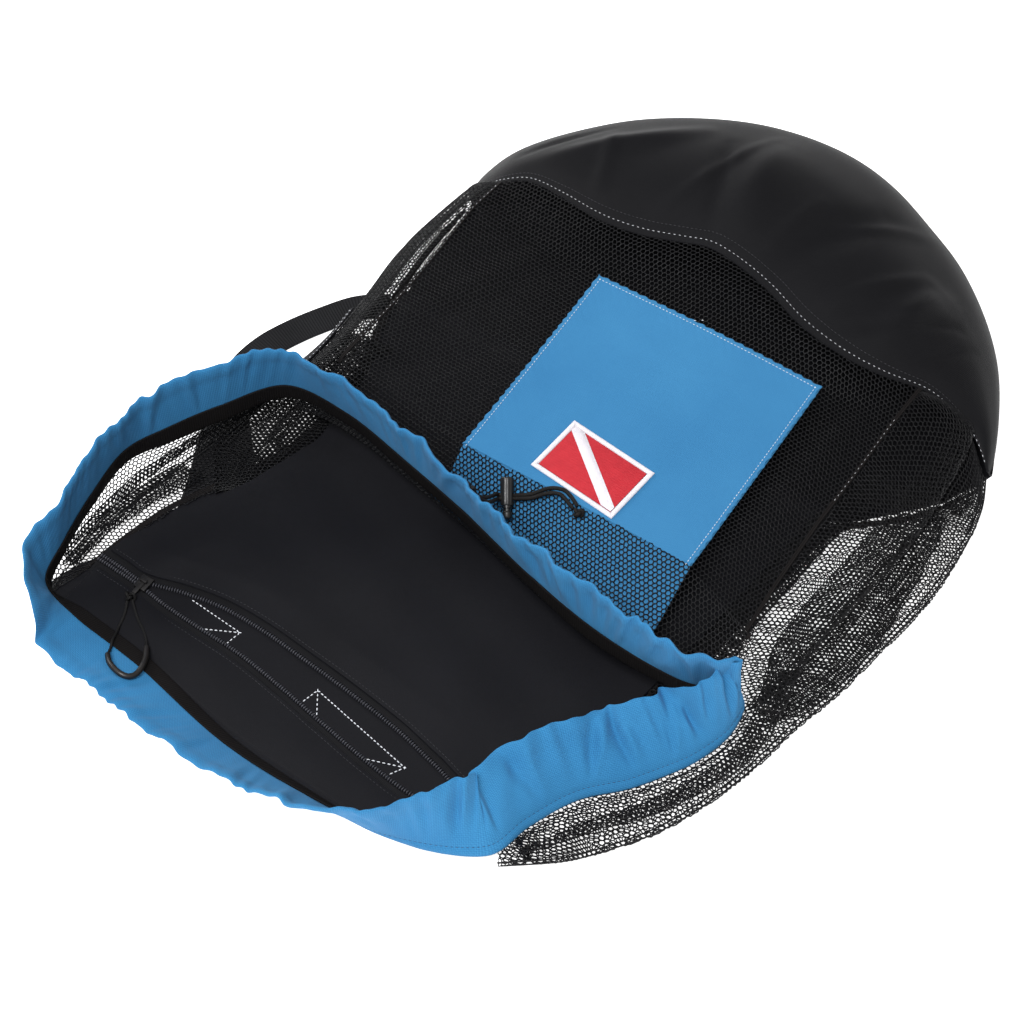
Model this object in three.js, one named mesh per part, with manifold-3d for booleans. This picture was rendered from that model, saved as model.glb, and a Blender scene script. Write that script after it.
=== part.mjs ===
// Mesh dive gear bag, empty, lying on its back with its mouth spread open.
// Units are millimetres and +Z is up. The mouth is towards -Y and the rounded base towards +Y.
// Every wall is a closed cloth solid: a grid of points on its middle surface, thickened both ways.
// Tables hold shares of the named sizes: across of bagWidth, along of bagLength, up of bagDepth.

import * as THREE from 'three';
import { mergeVertices } from 'three/addons/utils/BufferGeometryUtils.js';
import Module from 'manifold-3d';

const wasm = await Module();
wasm.setup();

// Overall sizes of the bag as it lies
const bagWidth = 560;
const bagLength = 750;
const bagDepth = 100;

// Cloth thicknesses and clearances
const nylonWall = 1.5;
const netWall = 1.5;
const cuffWall = 2;
const pocketCloth = 1.2;
const tapeWall = 0.8;
const strapWall = 2.4;
const clothGap = 0.4;
const seamGap = 0.8;
const fitGap = 0.3;

// Mouth cuff: a band gathered on a drawcord that runs in the casing at its rim
const cuffHeight = 57;
const cuffStations = 102;
const casingBulge = 1.7;
const gatherDepth = 2.4;
const gatherCount = 31;
const rimWave = 1.4;
const bindingHeight = 9;
const bindingWall = 1.2;
const bindingStart = 2.4;

// Heights of the layers on the floor, each on the one below it
const panelLift = strapWall + clothGap + nylonWall / 2;
const tapeLift = panelLift + nylonWall / 2 + clothGap + tapeWall;
const coilHeight = 2.4;
const liningLift = tapeLift + tapeWall / 2 + clothGap + nylonWall / 2;

// Front pocket, its patch and the drop of the front panel behind the cuff
const pocketWidth = 197;
const pocketHeight = 185;
const pocketLeft = -46;
const pocketNear = 4;
const valleyHeight = 18;
const patchWidth = 76;
const patchHeight = 51;
const patchBorder = 4;
const patchCloth = 1.2;
const patchTurn = -6;
const patchX = 48;
const patchY = 35;
const patchGap = 0.6;
const fieldCloth = 0.7;
const stripeCloth = 0.5;
const stripeWidth = 9;

// Zip
const coilWidth = 2.6;
const tapeWidth = 12;
const zipCover = 7;

// Straps under the bag
const strapTopWidth = 88;
const strapEndWidth = 24;
const tabThickness = 1.5;

// Drawcord and its spring lock: a barrel with a sprung button, the cord's two strands through both
const drawcordDiameter = 3;
const drawcordExit = 8.85;
const knotWidth = 8;
const lockAcross = 0.007;
const lockAlong = -0.0165;
const lockUp = 0.429;
const lockHeading = -56;
const lockDip = 31.7;
const lockRadius = 5;
const lockLength = 21;
const lockWall = 1;
const lockFloor = 2;
const cordHole = 4;
const buttonTravel = 4;
const buttonNeck = 2.6;
const buttonHead = 3.4;
const buttonHeadLength = 6;
const buttonShows = 10;

// Zip slider, its tab, and the cord loop with a sleeve as the grip
const sliderAcross = -0.3286;
const sliderLength = 10;
const sliderWall = 1;
const sliderPlate = 1.6;
const bridgeHeight = 3;
const tabWidth = 3.4;
const tabLength = 13;
const tabCloth = 0.9;
const loopCordDiameter = 2;
const gripDiameter = 4.4;
const pullKnotWidth = 9;

// Mouth ring, clockwise from the left corner of the back: the cuff's lower edge, how far the cuff
// leans (90 stands up, less leans out, more leans in) and its height as a share of cuffHeight
const ringTable = [
  { name: 'left corner', across: -0.423, along: -0.337, up: 0.11, lean: 80, tall: 0.98 },
  { name: 'left low', across: -0.437, along: -0.3, up: 0.22, lean: 93, tall: 1 },
  { name: 'left', across: -0.446, along: -0.247, up: 0.32, lean: 95, tall: 1 },
  { name: 'left high', across: -0.446, along: -0.193, up: 0.42, lean: 98, tall: 1 },
  { name: 'left bend', across: -0.415, along: -0.149, up: 0.46, lean: 90, tall: 1 },
  { name: 'left front', across: -0.378, along: -0.1, up: 0.48, lean: 89, tall: 1 },
  { name: 'front corner', across: -0.325, along: -0.042, up: 0.5, lean: 97, tall: 1 },
  { name: 'front 1', across: -0.227, along: -0.036, up: 0.5, lean: 98, tall: 1 },
  { name: 'front 2', across: -0.116, along: -0.051, up: 0.48, lean: 96, tall: 1 },
  { name: 'front 3', across: -0.005, along: -0.068, up: 0.46, lean: 98, tall: 1 },
  { name: 'front 4', across: 0.111, along: -0.092, up: 0.44, lean: 96, tall: 1 },
  { name: 'front 5', across: 0.232, along: -0.109, up: 0.4, lean: 90, tall: 1 },
  { name: 'front 6', across: 0.348, along: -0.105, up: 0.34, lean: 96, tall: 1 },
  { name: 'right corner', across: 0.416, along: -0.079, up: 0.24, lean: 99, tall: 1 },
  { name: 'right 1', across: 0.429, along: -0.107, up: 0.18, lean: 108, tall: 1 },
  { name: 'right 2', across: 0.414, along: -0.149, up: 0.13, lean: 128, tall: 1 },
  { name: 'right 3', across: 0.368, along: -0.203, up: 0.1, lean: 138, tall: 1.02 },
  { name: 'right 4', across: 0.318, along: -0.245, up: 0.09, lean: 133, tall: 1.02 },
  { name: 'right 5', across: 0.289, along: -0.291, up: 0.08, lean: 130, tall: 1.03 },
  { name: 'right 6', across: 0.271, along: -0.336, up: 0.08, lean: 126, tall: 1.1 },
  { name: 'back 1', across: 0.205, along: -0.363, up: 0.08, lean: 104, tall: 1.05 },
  { name: 'back 2', across: 0.132, along: -0.375, up: 0.08, lean: 72, tall: 1 },
  { name: 'back 3', across: 0.039, along: -0.377, up: 0.08, lean: 52, tall: 1 },
  { name: 'back 4', across: -0.089, along: -0.372, up: 0.08, lean: 40, tall: 0.98 },
  { name: 'back 5', across: -0.245, along: -0.347, up: 0.08, lean: 26, tall: 0.98 },
  { name: 'back 6', across: -0.357, along: -0.338, up: 0.08, lean: 28, tall: 0.96 },
];

// Seam between the base cap and the net, from the left fold over the front to the right fold
const capSeamTable = [
  { across: -0.362, along: 0.319, up: 0.14 },
  { across: -0.334, along: 0.31, up: 0.34 },
  { across: -0.298, along: 0.308, up: 0.55 },
  { across: -0.254, along: 0.315, up: 0.66 },
  { across: -0.198, along: 0.309, up: 0.72 },
  { across: -0.123, along: 0.3, up: 0.76 },
  { across: -0.061, along: 0.304, up: 0.78 },
  { across: -0.007, along: 0.316, up: 0.8 },
  { across: 0.034, along: 0.324, up: 0.82 },
  { across: 0.088, along: 0.319, up: 0.82 },
  { across: 0.141, along: 0.309, up: 0.8 },
  { across: 0.202, along: 0.293, up: 0.76 },
  { across: 0.27, along: 0.288, up: 0.7 },
  { across: 0.327, along: 0.296, up: 0.62 },
  { across: 0.384, along: 0.315, up: 0.5 },
  { across: 0.43, along: 0.321, up: 0.35 },
  { across: 0.466, along: 0.319, up: 0.2 },
  { across: 0.5, along: 0.301, up: 0.09 },
];

// Far outline of the base cap where it meets the floor, left to right
const capRimTable = [
  { across: -0.37, along: 0.328 },
  { across: -0.368, along: 0.36 },
  { across: -0.345, along: 0.405 },
  { across: -0.29, along: 0.455 },
  { across: -0.225, along: 0.503 },
  { across: -0.15, along: 0.54 },
  { across: -0.07, along: 0.566 },
  { across: 0.01, along: 0.578 },
  { across: 0.09, along: 0.579 },
  { across: 0.165, along: 0.566 },
  { across: 0.24, along: 0.54 },
  { across: 0.31, along: 0.511 },
  { across: 0.378, along: 0.468 },
  { across: 0.432, along: 0.42 },
  { across: 0.473, along: 0.364 },
  { across: 0.504, along: 0.307 },
];

// Lower edge of the base cap on the floor, where the back panel and the gussets meet it
const capFloorTable = [
  { across: -0.35, along: 0.312 },
  { across: -0.345, along: 0.25 },
  { across: -0.338, along: 0.18 },
  { across: -0.3, along: 0.166 },
  { across: -0.15, along: 0.166 },
  { across: 0, along: 0.166 },
  { across: 0.15, along: 0.166 },
  { across: 0.3, along: 0.166 },
  { across: 0.358, along: 0.163 },
  { across: 0.395, along: 0.183 },
  { across: 0.432, along: 0.213 },
  { across: 0.468, along: 0.245 },
  { across: 0.494, along: 0.284 },
];

// Section of the base cap from its front seam over the dome, round the rim and back on the floor:
// run is the share of the way from the seam to the rim, rise the share of capCrown, seam the share
// of the seam's own height that is left there
const capCrown = 92;
const capSectionTable = [
  { run: 0, rise: 0, seam: 1 },
  { run: 0.17, rise: 0.14, seam: 0.93 },
  { run: 0.36, rise: 0.36, seam: 0.7 },
  { run: 0.56, rise: 0.5, seam: 0.46 },
  { run: 0.75, rise: 0.52, seam: 0.25 },
  { run: 0.89, rise: 0.48, seam: 0.1 },
  { run: 0.975, rise: 0.34, seam: 0.02 },
  { run: 1, rise: 0.1, seam: 0 },
];

// Side gussets from the mouth to the cap: the upper seam, the outer fold on the floor and the
// edge at the back panel. tuck is the depth of the pleat lying in the upper ply, at its place
// from the upper seam to the fold
const rightGussetTable = [
  {
    topX: 0.276, topY: -0.326, topZ: 0.08, foldX: 0.289, foldY: -0.338,
    backX: 0.268, backY: -0.312, tuck: 4, place: 0.5,
  },
  {
    topX: 0.289, topY: -0.291, topZ: 0.08, foldX: 0.346, foldY: -0.304,
    backX: 0.275, backY: -0.285, tuck: 6, place: 0.5,
  },
  {
    topX: 0.318, topY: -0.245, topZ: 0.09, foldX: 0.38, foldY: -0.275,
    backX: 0.285, backY: -0.245, tuck: 8, place: 0.5,
  },
  {
    topX: 0.368, topY: -0.203, topZ: 0.1, foldX: 0.425, foldY: -0.225,
    backX: 0.297, backY: -0.203, tuck: 10, place: 0.5,
  },
  {
    topX: 0.414, topY: -0.149, topZ: 0.13, foldX: 0.458, foldY: -0.163,
    backX: 0.308, backY: -0.149, tuck: 10, place: 0.5,
  },
  {
    topX: 0.429, topY: -0.107, topZ: 0.18, foldX: 0.476, foldY: -0.11,
    backX: 0.315, backY: -0.107, tuck: 12, place: 0.45,
  },
  {
    topX: 0.413, topY: -0.064, topZ: 0.24, foldX: 0.487, foldY: -0.062,
    backX: 0.322, backY: -0.064, tuck: 16, place: 0.42,
  },
  {
    topX: 0.378, topY: -0.012, topZ: 0.33, foldX: 0.505, foldY: -0.008,
    backX: 0.33, backY: -0.012, tuck: 20, place: 0.4,
  },
  {
    topX: 0.373, topY: 0.05, topZ: 0.38, foldX: 0.518, foldY: 0.055,
    backX: 0.338, backY: 0.05, tuck: 22, place: 0.42,
  },
  {
    topX: 0.372, topY: 0.108, topZ: 0.42, foldX: 0.53, foldY: 0.112,
    backX: 0.347, backY: 0.108, tuck: 22, place: 0.45,
  },
  {
    topX: 0.375, topY: 0.158, topZ: 0.46, foldX: 0.534, foldY: 0.165,
    backX: 0.362, backY: 0.156, tuck: 22, place: 0.47,
  },
  {
    topX: 0.376, topY: 0.21, topZ: 0.5, foldX: 0.531, foldY: 0.218,
    backX: 0.426, backY: 0.2, tuck: 20, place: 0.48,
  },
  {
    topX: 0.378, topY: 0.258, topZ: 0.51, foldX: 0.521, foldY: 0.262,
    backX: 0.463, backY: 0.232, tuck: 14, place: 0.5,
  },
  {
    topX: 0.38, topY: 0.308, topZ: 0.52, foldX: 0.502, foldY: 0.297,
    backX: 0.5, backY: 0.28, tuck: 8, place: 0.5,
  },
];

const leftGussetTable = [
  {
    topX: -0.421, topY: -0.33, topZ: 0.13, foldX: -0.427, foldY: -0.327,
    backX: -0.414, backY: -0.312, tuck: 4, place: 0.5,
  },
  {
    topX: -0.437, topY: -0.3, topZ: 0.22, foldX: -0.432, foldY: -0.298,
    backX: -0.407, backY: -0.288, tuck: 5, place: 0.6,
  },
  {
    topX: -0.446, topY: -0.247, topZ: 0.32, foldX: -0.432, foldY: -0.247,
    backX: -0.396, backY: -0.247, tuck: 7, place: 0.7,
  },
  {
    topX: -0.446, topY: -0.193, topZ: 0.42, foldX: -0.424, foldY: -0.193,
    backX: -0.377, backY: -0.193, tuck: 9, place: 0.75,
  },
  {
    topX: -0.415, topY: -0.149, topZ: 0.46, foldX: -0.413, foldY: -0.145,
    backX: -0.35, backY: -0.149, tuck: 10, place: 0.75,
  },
  {
    topX: -0.378, topY: -0.1, topZ: 0.48, foldX: -0.4, foldY: -0.1,
    backX: -0.318, backY: -0.1, tuck: 12, place: 0.7,
  },
  {
    topX: -0.32, topY: -0.036, topZ: 0.48, foldX: -0.385, foldY: -0.03,
    backX: -0.292, backY: -0.04, tuck: 14, place: 0.55,
  },
  {
    topX: -0.307, topY: 0.02, topZ: 0.46, foldX: -0.375, foldY: 0.03,
    backX: -0.297, backY: 0.02, tuck: 12, place: 0.5,
  },
  {
    topX: -0.304, topY: 0.068, topZ: 0.46, foldX: -0.371, foldY: 0.08,
    backX: -0.306, backY: 0.068, tuck: 12, place: 0.5,
  },
  {
    topX: -0.305, topY: 0.14, topZ: 0.48, foldX: -0.382, foldY: 0.15,
    backX: -0.334, backY: 0.14, tuck: 12, place: 0.5,
  },
  {
    topX: -0.308, topY: 0.22, topZ: 0.52, foldX: -0.39, foldY: 0.228,
    backX: -0.35, backY: 0.215, tuck: 10, place: 0.5,
  },
  {
    topX: -0.298, topY: 0.302, topZ: 0.55, foldX: -0.37, foldY: 0.315,
    backX: -0.356, backY: 0.3, tuck: 6, place: 0.5,
  },
];

// Front panel: height at four rows across five columns, as shares of bagDepth
const panelColumns = [-0.305, -0.1, 0.09, 0.27, 0.376];
const panelRows = [
  { name: 'near the cuff', far: 0, heights: [0.46, 0.44, 0.45, 0.43, 0.33] },
  { name: 'middle of the pocket', far: 0.42, heights: [0.46, 0.49, 0.51, 0.49, 0.42] },
  { name: 'far edge of the pocket', far: 0.8, heights: [0.52, 0.57, 0.6, 0.57, 0.49] },
  { name: 'cap seam', far: 1, heights: [0.55, 0.75, 0.82, 0.7, 0.52] },
];

// Drop of the front panel from the cuff seam into the valley behind it
const dropTable = [
  { out: 0, down: 0 },
  { out: 0.01, down: 0.3 },
  { out: 0.05, down: 0.66 },
  { out: 0.16, down: 0.92 },
  { out: 0.33, down: 1 },
  { out: 0.54, down: 0.86 },
  { out: 0.77, down: 0.42 },
];

// Soft folds: a ridge from one place to another, with its half width and height in shares of
// bagWidth and bagDepth. A negative height is a dent
const panelFolds = [
  { fromX: -0.29, fromY: 0.09, toX: -0.16, toY: 0.27, half: 0.02, rise: 0.05 },
  { fromX: -0.25, fromY: 0.03, toX: -0.13, toY: 0.13, half: 0.02, rise: -0.04 },
  { fromX: 0.3, fromY: 0.02, toX: 0.33, toY: 0.24, half: 0.018, rise: 0.05 },
  { fromX: -0.02, fromY: 0.285, toX: 0.2, toY: 0.265, half: 0.016, rise: -0.035 },
];
const capFolds = [
  { fromX: 0.05, fromY: 0.34, toX: 0.02, toY: 0.5, half: 0.03, rise: 0.05 },
  { fromX: 0.12, fromY: 0.33, toX: 0.2, toY: 0.47, half: 0.025, rise: -0.05 },
  { fromX: -0.27, fromY: 0.33, toX: -0.1, toY: 0.48, half: 0.02, rise: 0.05 },
  { fromX: 0.3, fromY: 0.32, toX: 0.33, toY: 0.42, half: 0.02, rise: 0.05 },
];

// Zip, from the closed end at the left to the right end: the two rows of teeth
const zipTable = [
  { across: -0.404, upper: -0.274, lower: -0.279 },
  { across: -0.37, upper: -0.275, lower: -0.28 },
  { across: -0.336, upper: -0.2762, lower: -0.2812 },
  { across: -0.282, upper: -0.265, lower: -0.286 },
  { across: -0.225, upper: -0.257, lower: -0.288 },
  { across: -0.161, upper: -0.256, lower: -0.29 },
  { across: -0.093, upper: -0.26, lower: -0.297 },
  { across: -0.009, upper: -0.266, lower: -0.308 },
  { across: 0.079, upper: -0.275, lower: -0.319 },
  { across: 0.15, upper: -0.287, lower: -0.324 },
  { across: 0.2, upper: -0.298, lower: -0.32 },
  { across: 0.24, upper: -0.306, lower: -0.312 },
];

// Back panel edges, left and right, at rows from the mouth to the cap
const backPanelTable = [
  { along: -0.345, left: -0.405, right: 0.262 },
  { along: -0.31, left: -0.402, right: 0.264 },
  { along: -0.26, left: -0.388, right: 0.277 },
  { along: -0.2, left: -0.369, right: 0.293 },
  { along: -0.12, left: -0.32, right: 0.308 },
  { along: -0.04, left: -0.287, right: 0.322 },
  { along: 0.04, left: -0.294, right: 0.332 },
  { along: 0.12, left: -0.318, right: 0.344 },
  { along: 0.163, left: -0.326, right: 0.352 },
];

// Shoulder straps on the floor: middle line and width share between top and end widths
const leftStrapTable = [
  { across: -0.259, along: -0.322, wide: 1 },
  { across: -0.262, along: -0.28, wide: 1 },
  { across: -0.285, along: -0.22, wide: 0.85 },
  { across: -0.335, along: -0.15, wide: 0.55 },
  { across: -0.392, along: -0.09, wide: 0.25 },
  { across: -0.43, along: -0.045, wide: 0.08 },
  { across: -0.448, along: -0.007, wide: 0 },
  { across: -0.446, along: 0.03, wide: 0 },
  { across: -0.43, along: 0.065, wide: 0 },
  { across: -0.406, along: 0.1, wide: 0 },
  { across: -0.38, along: 0.13, wide: 0 },
  { across: -0.345, along: 0.15, wide: 0 },
];
const rightStrapTable = [
  { across: 0.034, along: -0.322, wide: 1 },
  { across: 0.036, along: -0.26, wide: 1 },
  { across: 0.06, along: -0.17, wide: 0.8 },
  { across: 0.12, along: -0.07, wide: 0.5 },
  { across: 0.2, along: 0.02, wide: 0.22 },
  { across: 0.27, along: 0.08, wide: 0.05 },
  { across: 0.318, along: 0.125, wide: 0 },
];

// Drawcord from its eyelet behind the front cuff down to the lock: share of the cuff's height and
// distance off the cuff's outer face
const exitTable = [
  { tall: 0.8, off: 0.2 },
  { tall: 0.68, off: 1 },
  { tall: 0.52, off: 3 },
  { tall: 0.34, off: 7 },
  { tall: 0.18, off: 13 },
];

// Drawcord beyond the lock: plan offset from the lock, height over the cloth and half the
// distance between the strands
const drawcordTable = [
  { right: 17.4, away: 4.6, rise: 4.3, apart: 1.8 },
  { right: 23.1, away: 9, rise: 4, apart: 2 },
  { right: 28, away: 12.1, rise: 4.5, apart: 2.2 },
  { right: 33, away: 15.2, rise: 3, apart: 2.3 },
  { right: 38.2, away: 16.5, rise: 3, apart: 2.4 },
  { right: 43.7, away: 14.8, rise: 4.3, apart: 2.4 },
  { right: 48.7, away: 12.6, rise: 4, apart: 2.2 },
  { right: 52, away: 11.2, rise: 4, apart: 1.9 },
];
const knotPlace = { right: 56.5, away: 8.8, rise: 4.8 };

// Loop on the zip tab, from the knot round and back: plan offset from the slider, with far as a
// share of bagLength, and height over the cloth. The sleeve is the middle part
const leftLegTable = [
  { right: 2, far: -0.02813, rise: 3.8 },
  { right: 4.5, far: -0.034, rise: 3.3 },
  { right: 7.4, far: -0.04267, rise: 2.2 },
  { right: 10, far: -0.054, rise: 2.2 },
  { right: 13.5, far: -0.06467, rise: 3.0 },
  { right: 17, far: -0.074, rise: 2.6 },
  { right: 19.7, far: -0.08067, rise: 1.9 },
  { right: 22.6, far: -0.08747, rise: 2.6 },
  { right: 24.25, far: -0.09147, rise: 3.6 },
];
const gripTable = [
  { right: 24.5, far: -0.092, rise: 3.7 },
  { right: 32.7, far: -0.10067, rise: 3.7 },
  { right: 43, far: -0.10427, rise: 3.7 },
  { right: 49.6, far: -0.1016, rise: 3.8 },
  { right: 51.7, far: -0.09333, rise: 4.2 },
  { right: 50, far: -0.082, rise: 4.2 },
  { right: 45.5, far: -0.07067, rise: 4.2 },
  { right: 38.5, far: -0.05907, rise: 4.2 },
];
const rightLegTable = [
  { right: 38.15, far: -0.05847, rise: 4.2 },
  { right: 36, far: -0.05493, rise: 3 },
  { right: 32, far: -0.05, rise: 1.8 },
  { right: 26, far: -0.044, rise: 1.7 },
  { right: 18, far: -0.038, rise: 2 },
  { right: 11, far: -0.03133, rise: 3 },
  { right: 5.3, far: -0.02533, rise: 3.8 },
];

// Value of a smooth curve through evenly counted values, at place t from 0 to the last one
function smoothValue(values, t, closed = false) {
  const count = values.length;
  const i = Math.floor(closed ? t : Math.min(Math.max(t, 0), count - 1.000001));
  const f = t - i;
  const pick = (k) => values[closed ? ((k % count) + count) % count : Math.min(Math.max(k, 0), count - 1)];
  const [a, b, c, d] = [pick(i - 1), pick(i), pick(i + 1), pick(i + 2)];
  const bend = 2 * a - 5 * b + 4 * c - d;
  const twist = 3 * b - a - 3 * c + d;
  return 0.5 * (2 * b + (c - a) * f + bend * f * f + twist * f * f * f);
}

const column = (table, name) => table.map((row) => row[name]);
const lerp = (a, b, t) => a + (b - a) * t;
const mix = (p, q, t) => new THREE.Vector3().lerpVectors(p, q, t);

// Row of a table at place t, with every number column smoothed
function smoothRow(table, t, closed = false) {
  const row = {};
  for (const name of Object.keys(table[0])) {
    if (typeof table[0][name] === 'number') row[name] = smoothValue(column(table, name), t, closed);
  }
  return row;
}

// Places along a curve, evenly spaced by its length
function evenPlaces(pointAt, last, count, closed) {
  const fine = 1200;
  const lengths = [0];
  let previous = pointAt(0);
  for (let i = 1; i <= fine; i += 1) {
    const point = pointAt((last * i) / fine);
    lengths.push(lengths[i - 1] + point.distanceTo(previous));
    previous = point;
  }
  const steps = closed ? count : count - 1;
  const places = [];
  let k = 0;
  for (let i = 0; i < count; i += 1) {
    const goal = (lengths[fine] * i) / steps;
    while (k < fine - 1 && lengths[k + 1] < goal) k += 1;
    const share = (goal - lengths[k]) / Math.max(lengths[k + 1] - lengths[k], 1e-9);
    places.push((last * (k + Math.min(share, 1))) / fine);
  }
  return { places, length: lengths[fine] };
}

// Direction at a point between its two neighbours, the same for a long and a short side
function unitSpan(before, point, after) {
  const inward = point.clone().sub(before).normalize();
  const outward = after.clone().sub(point).normalize();
  return inward.add(outward);
}

// Unit normals of a grid of points, rows along the first index
function gridNormals(grid, loop = false) {
  const rows = grid.length;
  return grid.map((line, i) => line.map((point, j) => {
    const before = loop ? grid[(i + rows - 1) % rows][j] : grid[Math.max(i - 1, 0)][j];
    const after = loop ? grid[(i + 1) % rows][j] : grid[Math.min(i + 1, rows - 1)][j];
    const left = line[Math.max(j - 1, 0)];
    const right = line[Math.min(j + 1, line.length - 1)];
    const along = unitSpan(before, point, after);
    const across = unitSpan(left, point, right);
    return along.cross(across).normalize();
  }));
}

// Grid of points moved along the grid's normals
const lifted = (grid, normals, lift) => grid.map((line, i) => (
  line.map((point, j) => point.clone().addScaledVector(normals[i][j], lift))
));
const block = (grid, i0, i1, j0, j1) => grid.slice(i0, i1 + 1).map((line) => line.slice(j0, j1 + 1));

function geometryFrom(points, triangles) {
  const geometry = new THREE.BufferGeometry();
  const places = points.flatMap((point) => point.toArray());
  geometry.setAttribute('position', new THREE.Float32BufferAttribute(places, 3));
  geometry.setIndex(triangles.flat());
  if (signedVolume(geometry) < 0) geometry.setIndex(triangles.flatMap(([a, b, c]) => [a, c, b]));
  geometry.computeVertexNormals();
  return geometry;
}

function signedVolume(geometry) {
  const position = geometry.attributes.position;
  const index = geometry.index.array;
  const [a, b, c] = [new THREE.Vector3(), new THREE.Vector3(), new THREE.Vector3()];
  let volume = 0;
  for (let i = 0; i < index.length; i += 3) {
    a.fromBufferAttribute(position, index[i]);
    b.fromBufferAttribute(position, index[i + 1]);
    c.fromBufferAttribute(position, index[i + 2]);
    volume += a.dot(b.cross(c)) / 6;
  }
  return volume;
}

// Closed solid between two grids of the same shape
function shell(top, bottom, loop = false) {
  const rows = top.length;
  const columns = top[0].length;
  const points = [...top.flat(), ...bottom.flat()];
  const at = (side, i, j) => side * rows * columns + (i % rows) * columns + j;
  const triangles = [];
  const quad = (a, b, c, d) => triangles.push([a, b, c], [a, c, d]);
  const spans = loop ? rows : rows - 1;
  for (let i = 0; i < spans; i += 1) {
    for (let j = 0; j < columns - 1; j += 1) {
      quad(at(0, i, j), at(0, i + 1, j), at(0, i + 1, j + 1), at(0, i, j + 1));
      quad(at(1, i, j), at(1, i, j + 1), at(1, i + 1, j + 1), at(1, i + 1, j));
    }
    quad(at(0, i, 0), at(1, i, 0), at(1, i + 1, 0), at(0, i + 1, 0));
    quad(at(0, i, columns - 1), at(0, i + 1, columns - 1), at(1, i + 1, columns - 1), at(1, i, columns - 1));
  }
  if (!loop) {
    for (let j = 0; j < columns - 1; j += 1) {
      quad(at(0, 0, j), at(0, 0, j + 1), at(1, 0, j + 1), at(1, 0, j));
      quad(at(0, rows - 1, j), at(1, rows - 1, j), at(1, rows - 1, j + 1), at(0, rows - 1, j + 1));
    }
  }
  return geometryFrom(points, triangles);
}

// Cloth wall on a grid of its middle surface
function clothWall(grid, wall, normals = gridNormals(grid)) {
  return shell(lifted(grid, normals, wall / 2), lifted(grid, normals, -wall / 2));
}

// Band swept round a closed ring or along an open line, from sections with the same points
function sweptBand(sections, loop) {
  const rows = sections.length;
  const columns = sections[0].length;
  const triangles = [];
  const at = (i, j) => (i % rows) * columns + (j % columns);
  const spans = loop ? rows : rows - 1;
  for (let i = 0; i < spans; i += 1) {
    for (let j = 0; j < columns; j += 1) {
      triangles.push([at(i, j), at(i + 1, j), at(i + 1, j + 1)], [at(i, j), at(i + 1, j + 1), at(i, j + 1)]);
    }
  }
  if (!loop) {
    for (let j = 1; j < columns - 1; j += 1) {
      triangles.push([at(0, 0), at(0, j), at(0, j + 1)]);
      triangles.push([at(rows - 1, 0), at(rows - 1, j + 1), at(rows - 1, j)]);
    }
  }
  return geometryFrom(sections.flat(), triangles);
}

// Height that the folds of a table add at a place
function foldHeight(folds, x, y) {
  return folds.reduce((sum, fold) => {
    const from = new THREE.Vector2(fold.fromX * bagWidth, fold.fromY * bagLength);
    const run = new THREE.Vector2(fold.toX * bagWidth, fold.toY * bagLength).sub(from);
    const offset = new THREE.Vector2(x, y).sub(from);
    const share = THREE.MathUtils.clamp(offset.dot(run) / run.lengthSq(), 0, 1);
    const away = offset.addScaledVector(run, -share).length() / (fold.half * bagWidth);
    return sum + fold.rise * bagDepth * Math.sin(Math.PI * lerp(0.12, 0.88, share)) * Math.exp(-away * away);
  }, 0);
}

const bag = new THREE.Group();

const black = { color: 0x1d1d20, roughness: 0.85, metalness: 0 };
const netBlack = { color: 0x17171a, roughness: 0.7, metalness: 0 };
const blue = { color: 0x3d8fc6, roughness: 0.8, metalness: 0 };
const white = { color: 0xf0eef2, roughness: 0.7, metalness: 0 };
const red = { color: 0xcf3a44, roughness: 0.7, metalness: 0 };
const plastic = { color: 0x1a1a1c, roughness: 0.45, metalness: 0 };
const metal = { color: 0x2c2b2a, roughness: 0.4, metalness: 0.8 };

function addPiece(name, geometry, finish, parent = bag) {
  const mesh = new THREE.Mesh(geometry, new THREE.MeshStandardMaterial(finish));
  mesh.name = name;
  parent.add(mesh);
  return mesh;
}

// Mouth ring
const ringPoint = (t) => {
  const row = smoothRow(ringTable, t, true);
  return new THREE.Vector3(row.across * bagWidth, row.along * bagLength, row.up * bagDepth);
};
const ring = evenPlaces(ringPoint, ringTable.length, cuffStations, true);
const up = new THREE.Vector3(0, 0, 1);

// Frame of the cuff at a place: its lower edge, the way up the cloth and the way out of it
function cuffFrame(place) {
  const row = smoothRow(ringTable, place, true);
  const foot = ringPoint(place);
  const travel = ringPoint(place + 0.05).sub(ringPoint(place - 0.05));
  const outward = new THREE.Vector3(-travel.y, travel.x, 0).normalize();
  const lean = THREE.MathUtils.degToRad(row.lean);
  const rise = outward.clone().multiplyScalar(Math.cos(lean)).addScaledVector(up, Math.sin(lean));
  const face = outward.clone().multiplyScalar(Math.sin(lean)).addScaledVector(up, -Math.cos(lean));
  return { foot, rise, face, height: row.tall * cuffHeight };
}

// Point in the cuff's cloth: height up the band and depth out of its middle, with the gathers
function cuffPoint(frame, turn, height, depth) {
  const smooth = bindingStart + bindingHeight;
  const share = Math.max((height - smooth) / (frame.height - smooth), 0);
  const phase = turn * 2 * Math.PI;
  const drift = 1.3 * Math.sin(phase * 3);
  const wave = Math.sin(phase * gatherCount) + 0.6 * Math.sin(phase * gatherCount * 0.58 + drift);
  const ripple = gatherDepth * wave * share ** 0.9 * 0.7;
  const edge = rimWave * share * Math.sin(phase * 17 + 1) * share;
  const point = frame.foot.clone().addScaledVector(frame.rise, height + edge);
  return point.addScaledVector(frame.face, depth + ripple);
}

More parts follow.
